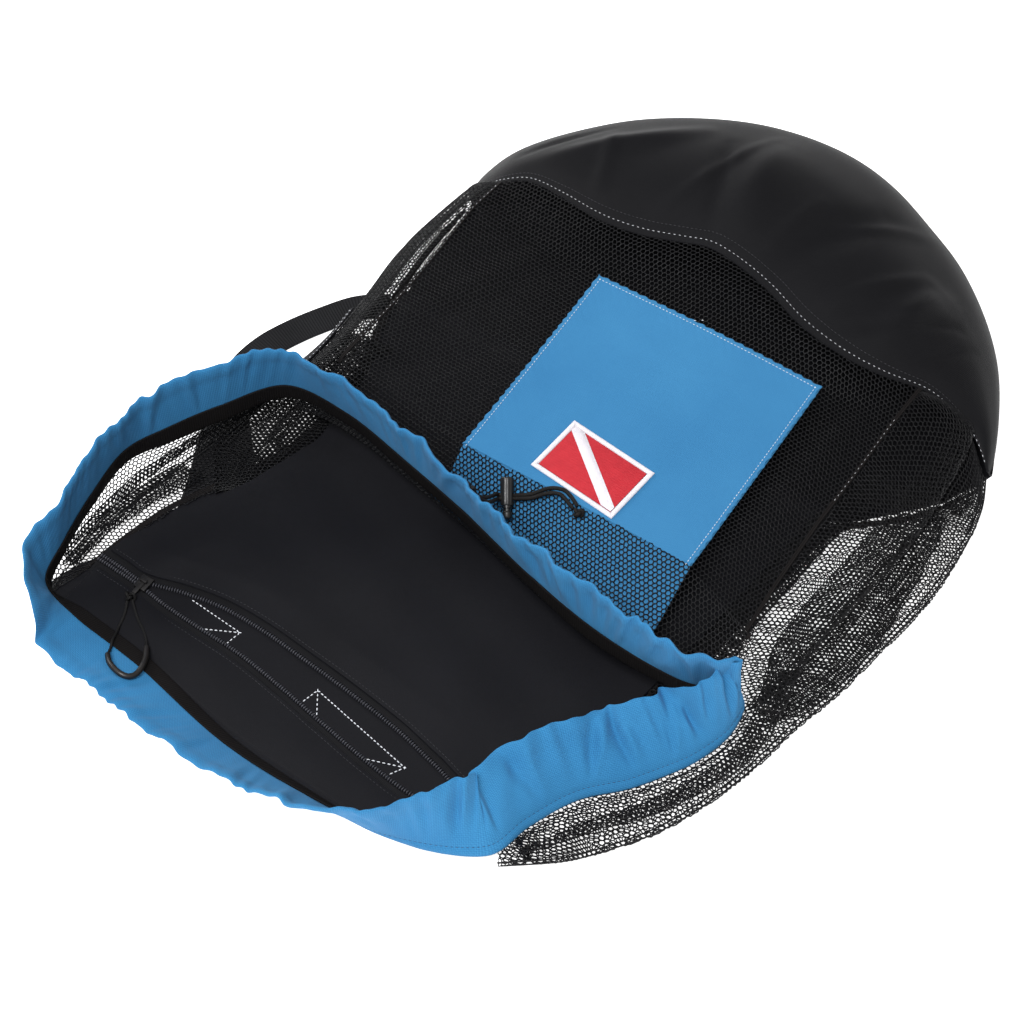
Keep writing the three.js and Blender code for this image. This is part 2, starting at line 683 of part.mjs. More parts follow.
const bindingShare = (bindingStart + bindingHeight) / cuffHeight;
const cuffSection = [
  { height: 0, depth: 1 },
  { height: bindingShare, depth: 1 },
  { height: 0.5, depth: 1 },
  { height: 0.84, depth: 1 + casingBulge },
  { height: 1, depth: 1 },
  { height: 1, depth: -1 },
  { height: 0.84, depth: -1 - casingBulge },
  { height: 0.5, depth: -1 },
  { height: bindingShare, depth: -1 },
  { height: 0, depth: -1 },
];
const cuffFrames = ring.places.map((place) => cuffFrame(place));
const cuffGrid = cuffFrames.map((frame, i) => cuffSection.map((row) => (
  cuffPoint(frame, i / cuffStations, row.height * frame.height, (row.depth * cuffWall) / 2)
)));
const cuff = addPiece('cuff', sweptBand(cuffGrid, true), blue);

// Binding on the inner face, parallel to the cuff's lower half
const bindingEnd = bindingStart + bindingHeight;
const bindingCorners = [
  [bindingStart, clothGap + bindingWall],
  [bindingEnd, clothGap + bindingWall],
  [bindingEnd, clothGap],
  [bindingStart, clothGap],
];
const cuffFoot = cuffSection.length - 1;
const bindingGrid = cuffFrames.map((frame, i) => bindingCorners.map(([height, inside]) => {
  const share = height / (cuffSection[cuffFoot - 1].height * frame.height);
  return mix(cuffGrid[i][cuffFoot], cuffGrid[i][cuffFoot - 1], share).addScaledVector(frame.face, -inside);
}));
const cuffBinding = addPiece('cuff_binding', sweptBand(bindingGrid, true), black);

// Front panel: a grid whose lines follow the pocket's edges
const frontStart = 6.08;
const frontEnd = 12.78;
const frontSeam = (share) => cuffFrame(lerp(frontStart, frontEnd, share));
const leftCells = 4;
const pocketCells = 7;
const rightCells = 3;
const dropCells = dropTable.length;
const faceCells = 7;
const farCells = 3;
const gussetTop = (table, y) => {
  let i = 0;
  while (i < table.length - 2 && table[i + 1].topY * bagLength < y) i += 1;
  const share = (y / bagLength - table[i].topY) / (table[i + 1].topY - table[i].topY);
  return lerp(table[i].topX, table[i + 1].topX, share) * bagWidth;
};

// Place on the cap seam at a given x
const capSeamPoint = (t) => {
  const row = smoothRow(capSeamTable, t);
  return new THREE.Vector3(row.across * bagWidth, row.along * bagLength, row.up * bagDepth);
};
function capSeamAt(x) {
  let low = 0;
  let high = capSeamTable.length - 1;
  for (let i = 0; i < 40; i += 1) {
    const middle = (low + high) / 2;
    if (capSeamPoint(middle).x < x) low = middle;
    else high = middle;
  }
  return capSeamPoint(low);
}
function frontSeamAt(x) {
  let low = 0;
  let high = 1;
  for (let i = 0; i < 40; i += 1) {
    const middle = (low + high) / 2;
    if (frontSeam(middle).foot.x < x) low = middle;
    else high = middle;
  }
  return frontSeam(low).foot;
}

// Height of the front panel beyond the valley
function panelHeight(x, far) {
  const columns = panelColumns.map((share) => share * bagWidth);
  let i = 0;
  while (i < columns.length - 2 && columns[i + 1] < x) i += 1;
  const place = i + THREE.MathUtils.clamp((x - columns[i]) / (columns[i + 1] - columns[i]), 0, 1);
  const atRows = panelRows.map((row) => smoothValue(row.heights, place));
  let k = 0;
  while (k < panelRows.length - 2 && panelRows[k + 1].far < far) k += 1;
  const step = k + (far - panelRows[k].far) / (panelRows[k + 1].far - panelRows[k].far);
  return smoothValue(atRows, step) * bagDepth;
}

const pocketRight = pocketLeft + pocketWidth;
const pocketFar = pocketNear + pocketHeight;
const columnCount = leftCells + pocketCells + rightCells;

// Column x of the panel's grid at a row, given the two side seams there
function columnX(i, leftX, rightX) {
  if (i <= leftCells) return lerp(leftX, pocketLeft, i / leftCells);
  if (i <= leftCells + pocketCells) return lerp(pocketLeft, pocketRight, (i - leftCells) / pocketCells);
  return lerp(pocketRight, rightX, (i - leftCells - pocketCells) / rightCells);
}

// Line where the panel comes out of the valley: level at the pocket, bent towards both sides
const nearLeft = 22;
const nearRight = -14;
const nearRowY = (x) => {
  const leftX = panelColumns[0] * bagWidth;
  const rightX = panelColumns[4] * bagWidth;
  if (x < pocketLeft) return lerp(nearLeft, pocketNear, (x - leftX) / (pocketLeft - leftX));
  if (x > pocketRight) return lerp(pocketNear, nearRight, (x - pocketRight) / (rightX - pocketRight));
  return pocketNear;
};

function frontPanelPoint(i, j) {
  const leftNear = frontSeam(0).foot.x + seamGap / 2;
  const rightNear = frontSeam(1).foot.x - seamGap / 2;
  if (j < dropCells) {
    const drop = dropTable[j];
    const x0 = columnX(i, leftNear, rightNear);
    const seam = frontSeamAt(x0);
    const leftX = gussetTop(leftGussetTable, nearLeft) + seamGap;
    const rightX = gussetTop(rightGussetTable, nearRight) - seamGap;
    const x1 = columnX(i, leftX, rightX);
    const endY = nearRowY(x1);
    const endZ = panelHeight(x1, 0);
    const floorZ = Math.min(valleyHeight, seam.z - 8);
    const z = drop.out < 0.34
      ? lerp(seam.z - seamGap, floorZ, drop.down)
      : lerp(endZ, floorZ, drop.down);
    return new THREE.Vector3(lerp(x0, x1, drop.out), lerp(seam.y, endY, drop.out), z);
  }
  const k = j - dropCells;
  const share = k / (faceCells + farCells);
  const guess = lerp(pocketNear, pocketFar + 30, share);
  const leftX = gussetTop(leftGussetTable, Math.max(guess, nearLeft)) + seamGap;
  const rightX = gussetTop(rightGussetTable, Math.max(guess, nearRight)) - seamGap;
  const x = columnX(i, leftX, rightX);
  const y0 = nearRowY(x);
  const y1 = pocketFar;
  const y2 = capSeamAt(x).y - seamGap / 2;
  const onFace = k <= faceCells;
  const step = onFace ? k / faceCells : (k - faceCells) / farCells;
  const far = onFace ? lerp(0, panelRows[2].far, step) : lerp(panelRows[2].far, 1, step);
  const y = onFace ? lerp(y0, y1, step) : lerp(y1, y2, step);
  const seamZ = capSeamAt(x).z;
  const reach = Math.max((far - panelRows[2].far) / (1 - panelRows[2].far), 0);
  const soft = foldHeight(panelFolds, x, y) * Math.sin(Math.PI * Math.min(far, 1));
  return new THREE.Vector3(x, y, lerp(panelHeight(x, far), seamZ, reach ** 2) + soft);
}

const panelRowCount = dropCells + faceCells + farCells + 1;
const frontGrid = [];
for (let i = 0; i <= columnCount; i += 1) {
  const line = [];
  for (let j = 0; j < panelRowCount; j += 1) line.push(frontPanelPoint(i, j));
  frontGrid.push(line);
}
const frontNormals = gridNormals(frontGrid);
addPiece('front_panel', clothWall(frontGrid, netWall, frontNormals), netBlack);

// Pocket: a blue back sewn on the net, a blue face, and a net strip from the face to the cuff
const pocketFrom = leftCells;
const pocketTo = leftCells + pocketCells;
const faceTo = dropCells + faceCells;
const onPanel = (j0, j1, lift) => lifted(
  block(frontGrid, pocketFrom, pocketTo, j0, j1),
  block(frontNormals, pocketFrom, pocketTo, j0, j1),
  lift,
);
const backLift = netWall / 2 + clothGap + pocketCloth / 2;
const faceLift = backLift + pocketCloth / 2 + clothGap + pocketCloth / 2;
const stripLift = backLift + pocketCloth / 2 + clothGap + netWall / 2;
const pocketNormals = (j0, j1) => block(frontNormals, pocketFrom, pocketTo, j0, j1);
addPiece('pocket_back', clothWall(onPanel(0, faceTo, backLift), pocketCloth, pocketNormals(0, faceTo)), blue);
const faceGrid = onPanel(dropCells, faceTo, faceLift);
addPiece('pocket_face', clothWall(faceGrid, pocketCloth, pocketNormals(dropCells, faceTo)), blue);
const stripGrid = onPanel(0, dropCells, stripLift);
stripGrid.forEach((line) => {
  const last = line.length - 1;
  line[last].lerp(line[last - 1], seamGap / line[last].distanceTo(line[last - 1]));
});
addPiece('pocket_net', clothWall(stripGrid, netWall, pocketNormals(0, dropCells)), netBlack);

// Outer face of the pocket at a place, and its normal there
function pocketSurface(x, y) {
  const u = ((x - pocketLeft) / pocketWidth) * pocketCells;
  const v = ((y - pocketNear) / pocketHeight) * faceCells;
  const i = THREE.MathUtils.clamp(Math.floor(u), 0, pocketCells - 1);
  const j = THREE.MathUtils.clamp(Math.floor(v), 0, faceCells - 1);
  const corner = (a, b) => frontGrid[pocketFrom + i + a][dropCells + j + b];
  const low = mix(corner(0, 0), corner(1, 0), u - i);
  const high = mix(corner(0, 1), corner(1, 1), u - i);
  const normal = new THREE.Vector3().crossVectors(
    corner(1, 0).clone().sub(corner(0, 0)),
    corner(0, 1).clone().sub(corner(0, 0)),
  ).normalize();
  return { point: mix(low, high, v - j).addScaledVector(normal, faceLift + pocketCloth / 2), normal };
}

// Patch: a diver-down flag, red with a white stripe and a white border
const patch = new THREE.Group();
const patchSeat = pocketSurface(patchX, patchY);
patch.position.copy(patchSeat.point);
const patchAcross = new THREE.Vector3(1, 0, 0).applyAxisAngle(up, THREE.MathUtils.degToRad(patchTurn));
const patchUp = new THREE.Vector3().crossVectors(patchSeat.normal, patchAcross).normalize();
patchAcross.crossVectors(patchUp, patchSeat.normal);
patch.quaternion.setFromRotationMatrix(new THREE.Matrix4().makeBasis(patchAcross, patchUp, patchSeat.normal));
bag.add(patch);

function rectangle(width, height) {
  const shape = new THREE.Shape();
  shape.moveTo(-width / 2, -height / 2);
  shape.lineTo(width / 2, -height / 2);
  shape.lineTo(width / 2, height / 2);
  shape.lineTo(-width / 2, height / 2);
  shape.closePath();
  return shape;
}
const plate = (shape, depth, lift) => (
  new THREE.ExtrudeGeometry(shape, { depth, bevelEnabled: false }).translate(0, 0, lift)
);

const borderShape = rectangle(patchWidth, patchHeight);
const fieldWidth = patchWidth - 2 * patchBorder;
const fieldHeight = patchHeight - 2 * patchBorder;
borderShape.holes.push(rectangle(fieldWidth, fieldHeight));
addPiece('patch_border', plate(borderShape, patchCloth, patchGap), white, patch);
const fieldShape = rectangle(fieldWidth - 2 * fitGap, fieldHeight - 2 * fitGap);
addPiece('patch_field', plate(fieldShape, fieldCloth, patchGap), red, patch);

// The stripe runs from the upper corner by the border to the lower one, cut square to the field
const stripeShape = new THREE.Shape();
const stripeHalfX = fieldWidth / 2 - fitGap;
const stripeHalfY = fieldHeight / 2 - fitGap;
stripeShape.moveTo(-stripeHalfX, stripeHalfY);
stripeShape.lineTo(-stripeHalfX, stripeHalfY - stripeWidth / 2);
stripeShape.lineTo(stripeHalfX - stripeWidth, -stripeHalfY);
stripeShape.lineTo(stripeHalfX, -stripeHalfY);
stripeShape.lineTo(stripeHalfX, -stripeHalfY + stripeWidth / 2);
stripeShape.lineTo(-stripeHalfX + stripeWidth, stripeHalfY);
stripeShape.closePath();
addPiece('patch_stripe', plate(stripeShape, stripeCloth, patchGap + fieldCloth + fitGap), white, patch);

// Base cap: a hollow nylon pocket from the front seam over the dome, round the rim and under
const capStations = 19;
const floorShares = [0.62, 0.3, 0];
const capRimPoint = (t) => {
  const row = smoothRow(capRimTable, t);
  return new THREE.Vector3(row.across * bagWidth, row.along * bagLength, 0);
};
const capFloorPoint = (t) => {
  const row = smoothRow(capFloorTable, t);
  return new THREE.Vector3(row.across * bagWidth, row.along * bagLength, 0);
};
const seamPlaces = evenPlaces(capSeamPoint, capSeamTable.length - 1, capStations, false).places;
const rimPlaces = evenPlaces(capRimPoint, capRimTable.length - 1, capStations, false).places;
const floorPlaces = evenPlaces(capFloorPoint, capFloorTable.length - 1, capStations, false).places;
const capGrid = [];
for (let i = 0; i < capStations; i += 1) {
  const seam = capSeamPoint(seamPlaces[i]);
  seam.y += seamGap / 2;
  const rim = capRimPoint(rimPlaces[i]);
  const floorEdge = capFloorPoint(floorPlaces[i]);
  const share = i / (capStations - 1);
  const dome = Math.sin(Math.PI * share) ** 0.75;
  const line = capSectionTable.map((row) => {
    const x = lerp(seam.x, rim.x, row.run);
    const y = lerp(seam.y, rim.y, row.run);
    const bump = foldHeight(capFolds, x, y) * Math.sin(Math.PI * row.run);
    const height = row.seam * seam.z + row.rise * capCrown * dome;
    const least = nylonWall / 2 + 2.2 * (1 - row.run) + 3 * row.seam;
    return new THREE.Vector3(x, y, Math.max(height + bump, least));
  });
  const rimFoot = mix(rim, seam, 0.02);
  line.push(new THREE.Vector3(rimFoot.x, rimFoot.y, nylonWall / 2));
  line[line.length - 2].z = Math.max(line[line.length - 2].z, nylonWall / 2 + 3.4);
  floorShares.forEach((run) => {
    const point = mix(floorEdge, rim, run);
    point.z = lerp(panelLift, nylonWall / 2, Math.min(run * 2.2, 1));
    line.push(point);
  });
  capGrid.push(line);
}
addPiece('base_cap', clothWall(capGrid, nylonWall), black);

// Side gussets: an upper ply with a pleat in it, the outer fold, and the lower ply on the floor
const plyLift = 3.2;
const tuckFrom = 5;
const cuffStandOff = 3.4;
const sideBlendFrom = 0.86;

// Points of the gusset's section from the upper seam over the fold to the back panel. out is the
// level way out of the bag and endShare how far the section has blended into the cap seam
function gussetSection(row, out, endShare) {
  const top = new THREE.Vector3(row.topX * bagWidth, row.topY * bagLength, row.topZ * bagDepth - seamGap);
  const fold = new THREE.Vector3(row.foldX * bagWidth, row.foldY * bagLength, panelLift + plyLift);
  const back = new THREE.Vector3(row.backX * bagWidth, row.backY * bagLength, panelLift);
  top.addScaledVector(out, cuffStandOff * (1 - endShare));
  back.addScaledVector(out, seamGap);
  const slope = fold.clone().sub(top);
  const ridge = new THREE.Vector3().crossVectors(out, up);
  const normal = slope.clone().normalize().cross(ridge).normalize();
  if (normal.dot(out) + normal.z < 0) normal.negate();
  const folded = row.tuck > tuckFrom;
  const half = folded ? Math.min(row.tuck / slope.length() / 2, 0.28) : 0.15;
  const near = Math.max(row.place - half, 0.14);
  const far = Math.min(row.place + half, 0.86);
  const lift = folded ? plyLift : 0;
  const upper = (share, plies) => {
    const point = mix(top, fold, share);
    point.lerp(sideSeamAt(point.x), endShare);
    return point.addScaledVector(normal, plies * lift);
  };
  const pleat = folded
    ? [upper(far, 2), upper(far, 1), upper(near, 1), upper(near, 0)]
    : [upper(near, 0), upper(lerp(near, far, 0.3), 0), upper(lerp(near, far, 0.6), 0), upper(far, 0)];
  const turn = (move, z) => fold.clone().addScaledVector(out, -move).setZ(z);
  return [
    upper(0, 0),
    upper(near * 0.55, 1.4),
    ...pleat,
    upper(Math.min(far + 0.08, 0.93), 0),
    turn(2, panelLift + plyLift),
    turn(0, panelLift + plyLift / 2),
    turn(2, panelLift),
    mix(turn(2, panelLift), back, 0.5),
    back,
  ];
}

// Near side of the faceted cap seam at a given x
function sideSeamAt(x) {
  const seams = capGrid.map((line) => line[0]);
  let i = 0;
  while (i < seams.length - 2 && seams[i + 1].x < x) i += 1;
  const point = mix(seams[i], seams[i + 1], (x - seams[i].x) / (seams[i + 1].x - seams[i].x));
  point.y -= 2 * seamGap;
  return point;
}

function gussetGrid(table, side, stations) {
  const last = table.length - 1;
  const topPoint = (t) => {
    const row = smoothRow(table, t);
    return new THREE.Vector3(row.topX * bagWidth, row.topY * bagLength, row.topZ * bagDepth);
  };
  const foldPoint = (t) => {
    const row = smoothRow(table, THREE.MathUtils.clamp(t, 0, last));
    return new THREE.Vector3(row.foldX * bagWidth, row.foldY * bagLength, 0);
  };
  const { places } = evenPlaces(topPoint, last, stations, false);
  return places.map((place, index) => {
    const share = index / (stations - 1);
    const travel = foldPoint(place + 0.3).sub(foldPoint(place - 0.3));
    const out = new THREE.Vector3(side * travel.y, -side * travel.x, 0).normalize();
    const endShare = THREE.MathUtils.smoothstep(share, sideBlendFrom, 1);
    return gussetSection(smoothRow(table, place), out, endShare);
  });
}
const leftSideGrid = gussetGrid(leftGussetTable, -1, 14);
const leftSideNormals = gridNormals(leftSideGrid);
addPiece('side_right', clothWall(gussetGrid(rightGussetTable, 1, 17), netWall), netBlack);
addPiece('side_left', clothWall(leftSideGrid, netWall, leftSideNormals), netBlack);

// Nylon tab on the left side where the strap's end is sewn: a triangle on the upper ply
const tabStations = [6, 7, 8, 9];
const tabInner = [0.1, 0.42, 0.72, 0.94];
const tabLift = netWall / 2 + seamGap + tabThickness / 2;
const tabGrid = tabStations.map((station, k) => {
  const at = (grid, share) => mix(grid[station][1], grid[station][2], share);
  return [tabInner[k], lerp(tabInner[k], 1, 0.5), 1].map((share) => (
    at(leftSideGrid, share).addScaledVector(at(leftSideNormals, share).normalize(), tabLift)
  ));
});
addPiece('strap_tab', clothWall(tabGrid, tabThickness), black);

// Lower edge of the cuff along the back of the mouth, at a given x
const backSeamFrom = 18.6;
function backSeamAt(x) {
  let low = backSeamFrom;
  let high = ringTable.length;
  for (let i = 0; i < 40; i += 1) {
    const middle = (low + high) / 2;
    if (ringPoint(middle).x > x) low = middle;
    else high = middle;
  }
  return ringPoint(low);
}

// Back panel on the straps, from the cuff to the base cap
const panelAcross = 8;
const edgeAt = (along, name) => {
  let i = 0;
  while (i < backPanelTable.length - 2 && backPanelTable[i + 1].along < along) i += 1;
  const [a, b] = [backPanelTable[i], backPanelTable[i + 1]];
  return lerp(a[name], b[name], (along - a.along) / (b.along - a.along)) * bagWidth;
};
const backGrid = [];
for (let i = 0; i <= panelAcross; i += 1) {
  const share = i / panelAcross;
  const line = backPanelTable.map((row) => new THREE.Vector3(
    lerp(row.left, row.right, share) * bagWidth,
    row.along * bagLength - seamGap / 2,
    panelLift,
  ));
  line[0].y = backSeamAt(line[0].x).y + 3 * cuffWall;
  backGrid.push(line);
}
addPiece('back_panel', clothWall(backGrid, nylonWall), black);

// Rows of zip teeth at a given x
const zipRows = (x) => {
  const shares = column(zipTable, 'across').map((share) => share * bagWidth);
  let i = 0;
  while (i < shares.length - 2 && shares[i + 1] < x) i += 1;
  const place = i + THREE.MathUtils.clamp((x - shares[i]) / (shares[i + 1] - shares[i]), 0, 1);
  const row = smoothRow(zipTable, place);
  return { upper: row.upper * bagLength, lower: row.lower * bagLength };
};
const zipFrom = zipTable[0].across * bagWidth;
const zipTo = zipTable[zipTable.length - 1].across * bagWidth;

// Level strip over the zip's length, through the given lines
function zipStrip(cells, lines, lift, span) {
  const grid = [];
  for (let i = 0; i <= cells; i += 1) {
    const x = lerp(span[0], span[1], i / cells);
    grid.push(lines.map((lineAt) => new THREE.Vector3(x, lineAt(x), lift)));
  }
  return grid;
}
const zipCells = 16;
const zipSpan = [zipFrom, zipTo];
const tapeEdge = coilWidth / 2 + fitGap;
const lowerLines = [(x) => zipRows(x).lower - tapeWidth, (x) => zipRows(x).lower - tapeEdge];
const upperLines = [(x) => zipRows(x).upper + tapeEdge, (x) => zipRows(x).upper + tapeWidth];
const lowerTape = zipStrip(zipCells, lowerLines, tapeLift, zipSpan);
const upperTape = zipStrip(zipCells, upperLines, tapeLift, zipSpan);
addPiece('zip_tape_lower', clothWall(lowerTape, tapeWall), black);
addPiece('zip_tape_upper', clothWall(upperTape, tapeWall), black);

// Coil of teeth as a rail with a bevelled crown
function coilRail(name) {
  const bottom = panelLift + nylonWall / 2 + clothGap;
  const half = coilWidth / 2;
  const profile = [[-half, 0], [half, 0], [half, 0.6], [half * 0.5, 1], [-half * 0.5, 1], [-half, 0.6]];
  const sections = [];
  for (let i = 0; i <= zipCells; i += 1) {
    const x = lerp(zipFrom, zipTo, i / zipCells);
    const row = zipRows(x)[name];
    sections.push(profile.map(([y, rise]) => new THREE.Vector3(x, row + y, bottom + rise * coilHeight)));
  }
  return sweptBand(sections, false);
}
addPiece('zip_coil_lower', coilRail('lower'), black);
addPiece('zip_coil_upper', coilRail('upper'), black);

// Facing from the cuff to the zip, and the lining beyond it
const facingLeft = -0.398 * bagWidth;
const facingRight = 0.256 * bagWidth;
const facingNear = (x) => backSeamAt(x).y + cuffWall;
const facingFar = (x) => zipRows(x).lower - zipCover;
const facingLines = [0, 0.33, 0.67, 1].map((share) => (x) => lerp(facingNear(x), facingFar(x), share));
const facingGrid = zipStrip(12, facingLines, liningLift, [facingLeft, facingRight]);
const facing = addPiece('facing', clothWall(facingGrid, nylonWall), black);

const liningEnd = 0.08;
const liningInset = 3;
const liningGrid = [];
const liningAcross = 12;
const liningAlong = 5;
for (let i = 0; i <= liningAcross; i += 1) {
  const line = [];
  for (let j = 0; j <= liningAlong; j += 1) {
    const share = i / liningAcross;
    const nearX = lerp(facingLeft, facingRight, share);
    const nearAlong = (zipRows(nearX).upper + zipCover) / bagLength;
    const along = lerp(nearAlong, liningEnd, j / liningAlong);
    const x = lerp(edgeAt(along, 'left') + liningInset, edgeAt(along, 'right') - liningInset, share);
    line.push(new THREE.Vector3(j === 0 ? nearX : x, along * bagLength, liningLift));
  }
  liningGrid.push(line);
}
addPiece('back_lining', clothWall(liningGrid, nylonWall), black);

// Shoulder straps flat on the floor
function strapGrid(table, steps) {
  const last = table.length - 1;
  const middle = (t) => {
    const row = smoothRow(table, t);
    return new THREE.Vector3(row.across * bagWidth, row.along * bagLength, strapWall / 2);
  };
  return evenPlaces(middle, last, steps, false).places.map((place) => {
    const centre = middle(place);
    const travel = middle(Math.min(place + 0.05, last)).sub(middle(Math.max(place - 0.05, 0)));
    const sideways = new THREE.Vector3(-travel.y, travel.x, 0).normalize();
    const wide = THREE.MathUtils.clamp(smoothRow(table, place).wide, 0, 1);
    const half = lerp(strapEndWidth, strapTopWidth, wide) / 2;
    return [-half, 0, half].map((offset) => centre.clone().addScaledVector(sideways, offset));
  });
}
addPiece('strap_left', clothWall(strapGrid(leftStrapTable, 20), strapWall), black);
addPiece('strap_right', clothWall(strapGrid(rightStrapTable, 16), strapWall), black);

// Height of the cloth straight below a place, or beside it where the place is over a seam's gap
bag.updateMatrixWorld(true);
const down = new THREE.Vector3(0, 0, -1);
const caster = new THREE.Raycaster();
const seamReach = 2 * cuffWall;
function clothUnder(x, y, pieces) {
  const hits = [0, seamReach, -seamReach].flatMap((shift) => {
    caster.set(new THREE.Vector3(x, y + shift, 3 * bagDepth), down);
    return caster.intersectObjects(pieces, false).slice(0, 1);
  });
  return hits[0].point.z;
}

// Route over the cloth from a table of plan offsets and heights
const routeOver = (table, seat, pieces) => table.map((row) => {
  const x = seat.x + row.right;
  const y = seat.y + (row.away ?? row.far * bagLength);
  return new THREE.Vector3(x, y, clothUnder(x, y, pieces) + row.rise);
});

// Round cord along a smooth curve
function cordPiece(points, diameter, steps) {
  const shape = new THREE.Shape();
  shape.absarc(0, 0, diameter / 2, 0, 2 * Math.PI);
  const extrudePath = new THREE.CatmullRomCurve3(points, false, 'centripetal');
  return new THREE.ExtrudeGeometry(shape, { steps, extrudePath, bevelEnabled: false, curveSegments: 4 });
}

// Booleans on closed solids
function toSolid(geometry) {
  const bare = geometry.clone();
  bare.deleteAttribute('normal');
  bare.deleteAttribute('uv');
  const merged = mergeVertices(bare, 1e-4);
  return new wasm.Manifold(new wasm.Mesh({
    numProp: 3,
    vertProperties: new Float32Array(merged.attributes.position.array),
    triVerts: new Uint32Array(merged.index.array),
  }));
}
function fromSolid(solid) {
  const mesh = solid.getMesh();
  const geometry = new THREE.BufferGeometry();
  geometry.setAttribute('position', new THREE.BufferAttribute(new Float32Array(mesh.vertProperties), 3));
  geometry.setIndex([...mesh.triVerts]);
  geometry.computeVertexNormals();
  return geometry;
}

// Body turned round the Y axis from pairs of radius and height
const turned = (profile) => {
  const line = profile.map(([radius, height]) => new THREE.Vector2(radius, height));
  return new THREE.LatheGeometry(line, 12);
};

// Lock: the barrel is open towards the button, and both are pierced for the two strands
const lock = new THREE.Group();
const heading = THREE.MathUtils.degToRad(lockHeading);
const dip = THREE.MathUtils.degToRad(lockDip);
const lockAxis = new THREE.Vector3(
  Math.cos(heading) * Math.cos(dip),
  Math.sin(heading) * Math.cos(dip),
  -Math.sin(dip),
);
const cordAxis = new THREE.Vector3(-lockAxis.y, lockAxis.x, 0).normalize();
const lockSide = new THREE.Vector3().crossVectors(cordAxis, lockAxis);
lock.position.set(lockAcross * bagWidth, lockAlong * bagLength, lockUp * bagDepth);
lock.quaternion.setFromRotationMatrix(new THREE.Matrix4().makeBasis(cordAxis, lockAxis, lockSide));
bag.add(lock);

const lockEnd = lockLength / 2;
const bore = lockRadius - lockWall;
const bevel = 0.6;
const barrelBody = turned([
  [0, -lockEnd],
  [lockRadius - bevel, -lockEnd],
  [lockRadius, bevel - lockEnd],
  [lockRadius, lockEnd - bevel / 2],
  [lockRadius - bevel / 2, lockEnd],
  [bore, lockEnd],
  [bore, lockFloor - lockEnd],
  [0, lockFloor - lockEnd],
]);
const strandApart = drawcordDiameter / 2 + fitGap / 3;
const holeLength = drawcordDiameter + 1.6 * strandApart + 2 * clothGap;
const holeWidth = drawcordDiameter + 1.2 * strandApart + 2 * clothGap;
const barrelHole = new THREE.BoxGeometry(3 * lockRadius, holeLength, holeWidth).translate(0, cordHole, 0);
addPiece('cord_lock_barrel', fromSolid(toSolid(barrelBody).subtract(toSolid(barrelHole))), plastic, lock);

const plunger = bore - fitGap;
const plungerFrom = lockFloor - lockEnd + buttonTravel + 2 * fitGap;
const buttonEnd = lockEnd + buttonShows;
const slotEnd = cordHole + holeLength / 2 + buttonTravel;
const neckFrom = slotEnd + lockWall;
const headFrom = buttonEnd - buttonHeadLength;
const buttonBody = turned([
  [0, plungerFrom],
  [plunger - bevel / 2, plungerFrom],
  [plunger, plungerFrom + bevel / 2],
  [plunger, neckFrom],
  [buttonNeck, neckFrom + bevel],
  [buttonNeck, headFrom],
  [buttonHead, headFrom + bevel],
  [buttonHead, buttonEnd - 2 * bevel],
  [buttonHead - 1.5 * bevel, buttonEnd],
  [0, buttonEnd],
]);
const slotFrom = cordHole - holeLength / 2;
const buttonSlot = new THREE.BoxGeometry(3 * lockRadius, slotEnd - slotFrom, holeWidth)
  .translate(0, (slotFrom + slotEnd) / 2, 0);
addPiece('cord_lock_button', fromSolid(toSolid(buttonBody).subtract(toSolid(buttonSlot))), plastic, lock);

// Drawcord strands: out of the casing behind the front cuff, through the lock, onto the pocket
const exitStation = ring.places.findIndex((place) => place >= drawcordExit);
const exitFrame = cuffFrames[exitStation];
const exitFace = cuffWall / 2 + casingBulge + fitGap + drawcordDiameter / 2;
const exitRoute = exitTable.map((row) => (
  cuffPoint(exitFrame, exitStation / cuffStations, row.tall * exitFrame.height, exitFace + row.off)
));
const holeCentre = lock.position.clone().addScaledVector(lockAxis, cordHole);
const holeSteps = [-1.5, -0.75, 0.6, 1.2];
const holeRoute = holeSteps.map((step) => holeCentre.clone().addScaledVector(cordAxis, step * lockRadius));
const pocketPieces = bag.children.filter((piece) => ['pocket_net', 'pocket_face'].includes(piece.name));
const drawcordRoute = [
  ...exitRoute,
  ...holeRoute,
  ...routeOver(drawcordTable, lock.position, pocketPieces),
];
const holeSpread = lockAxis.clone().multiplyScalar(0.8).addScaledVector(lockSide, -0.6);
const strandRoute = (side) => drawcordRoute.map((point, i) => {
  const before = drawcordRoute[Math.max(i - 1, 0)];
  const after = drawcordRoute[Math.min(i + 1, drawcordRoute.length - 1)];
  const travel = after.clone().sub(before);
  const level = new THREE.Vector3(travel.y, -travel.x, 0).normalize();
  const inLock = i >= exitRoute.length && i < exitRoute.length + holeRoute.length;
  const row = drawcordTable[i - exitRoute.length - holeRoute.length];
  const deep = holeSteps[i - exitRoute.length] > -1;
  const apart = row ? row.apart : strandApart + (deep ? 0 : seamGap);
  if (i === exitRoute.length - 1) level.add(holeSpread).normalize();
  return point.clone().addScaledVector(inLock ? holeSpread : level, side * apart);
});
addPiece('drawcord_far', cordPiece(strandRoute(-1), drawcordDiameter, 34), black);
addPiece('drawcord_near', cordPiece(strandRoute(1), drawcordDiameter, 34), black);

// Knot as a squashed ball
const knotSquash = 0.75;
function knotPiece(place, width, share) {
  const geometry = new THREE.SphereGeometry(width / 2, 10, 6);
  geometry.rotateX(Math.PI / 2);
  geometry.scale(1, share, knotSquash);
  return geometry.translate(place.x, place.y, place.z);
}
const [knotSeat] = routeOver([knotPlace], lock.position, pocketPieces);
addPiece('drawcord_knot', knotPiece(knotSeat, knotWidth, 0.9), black);

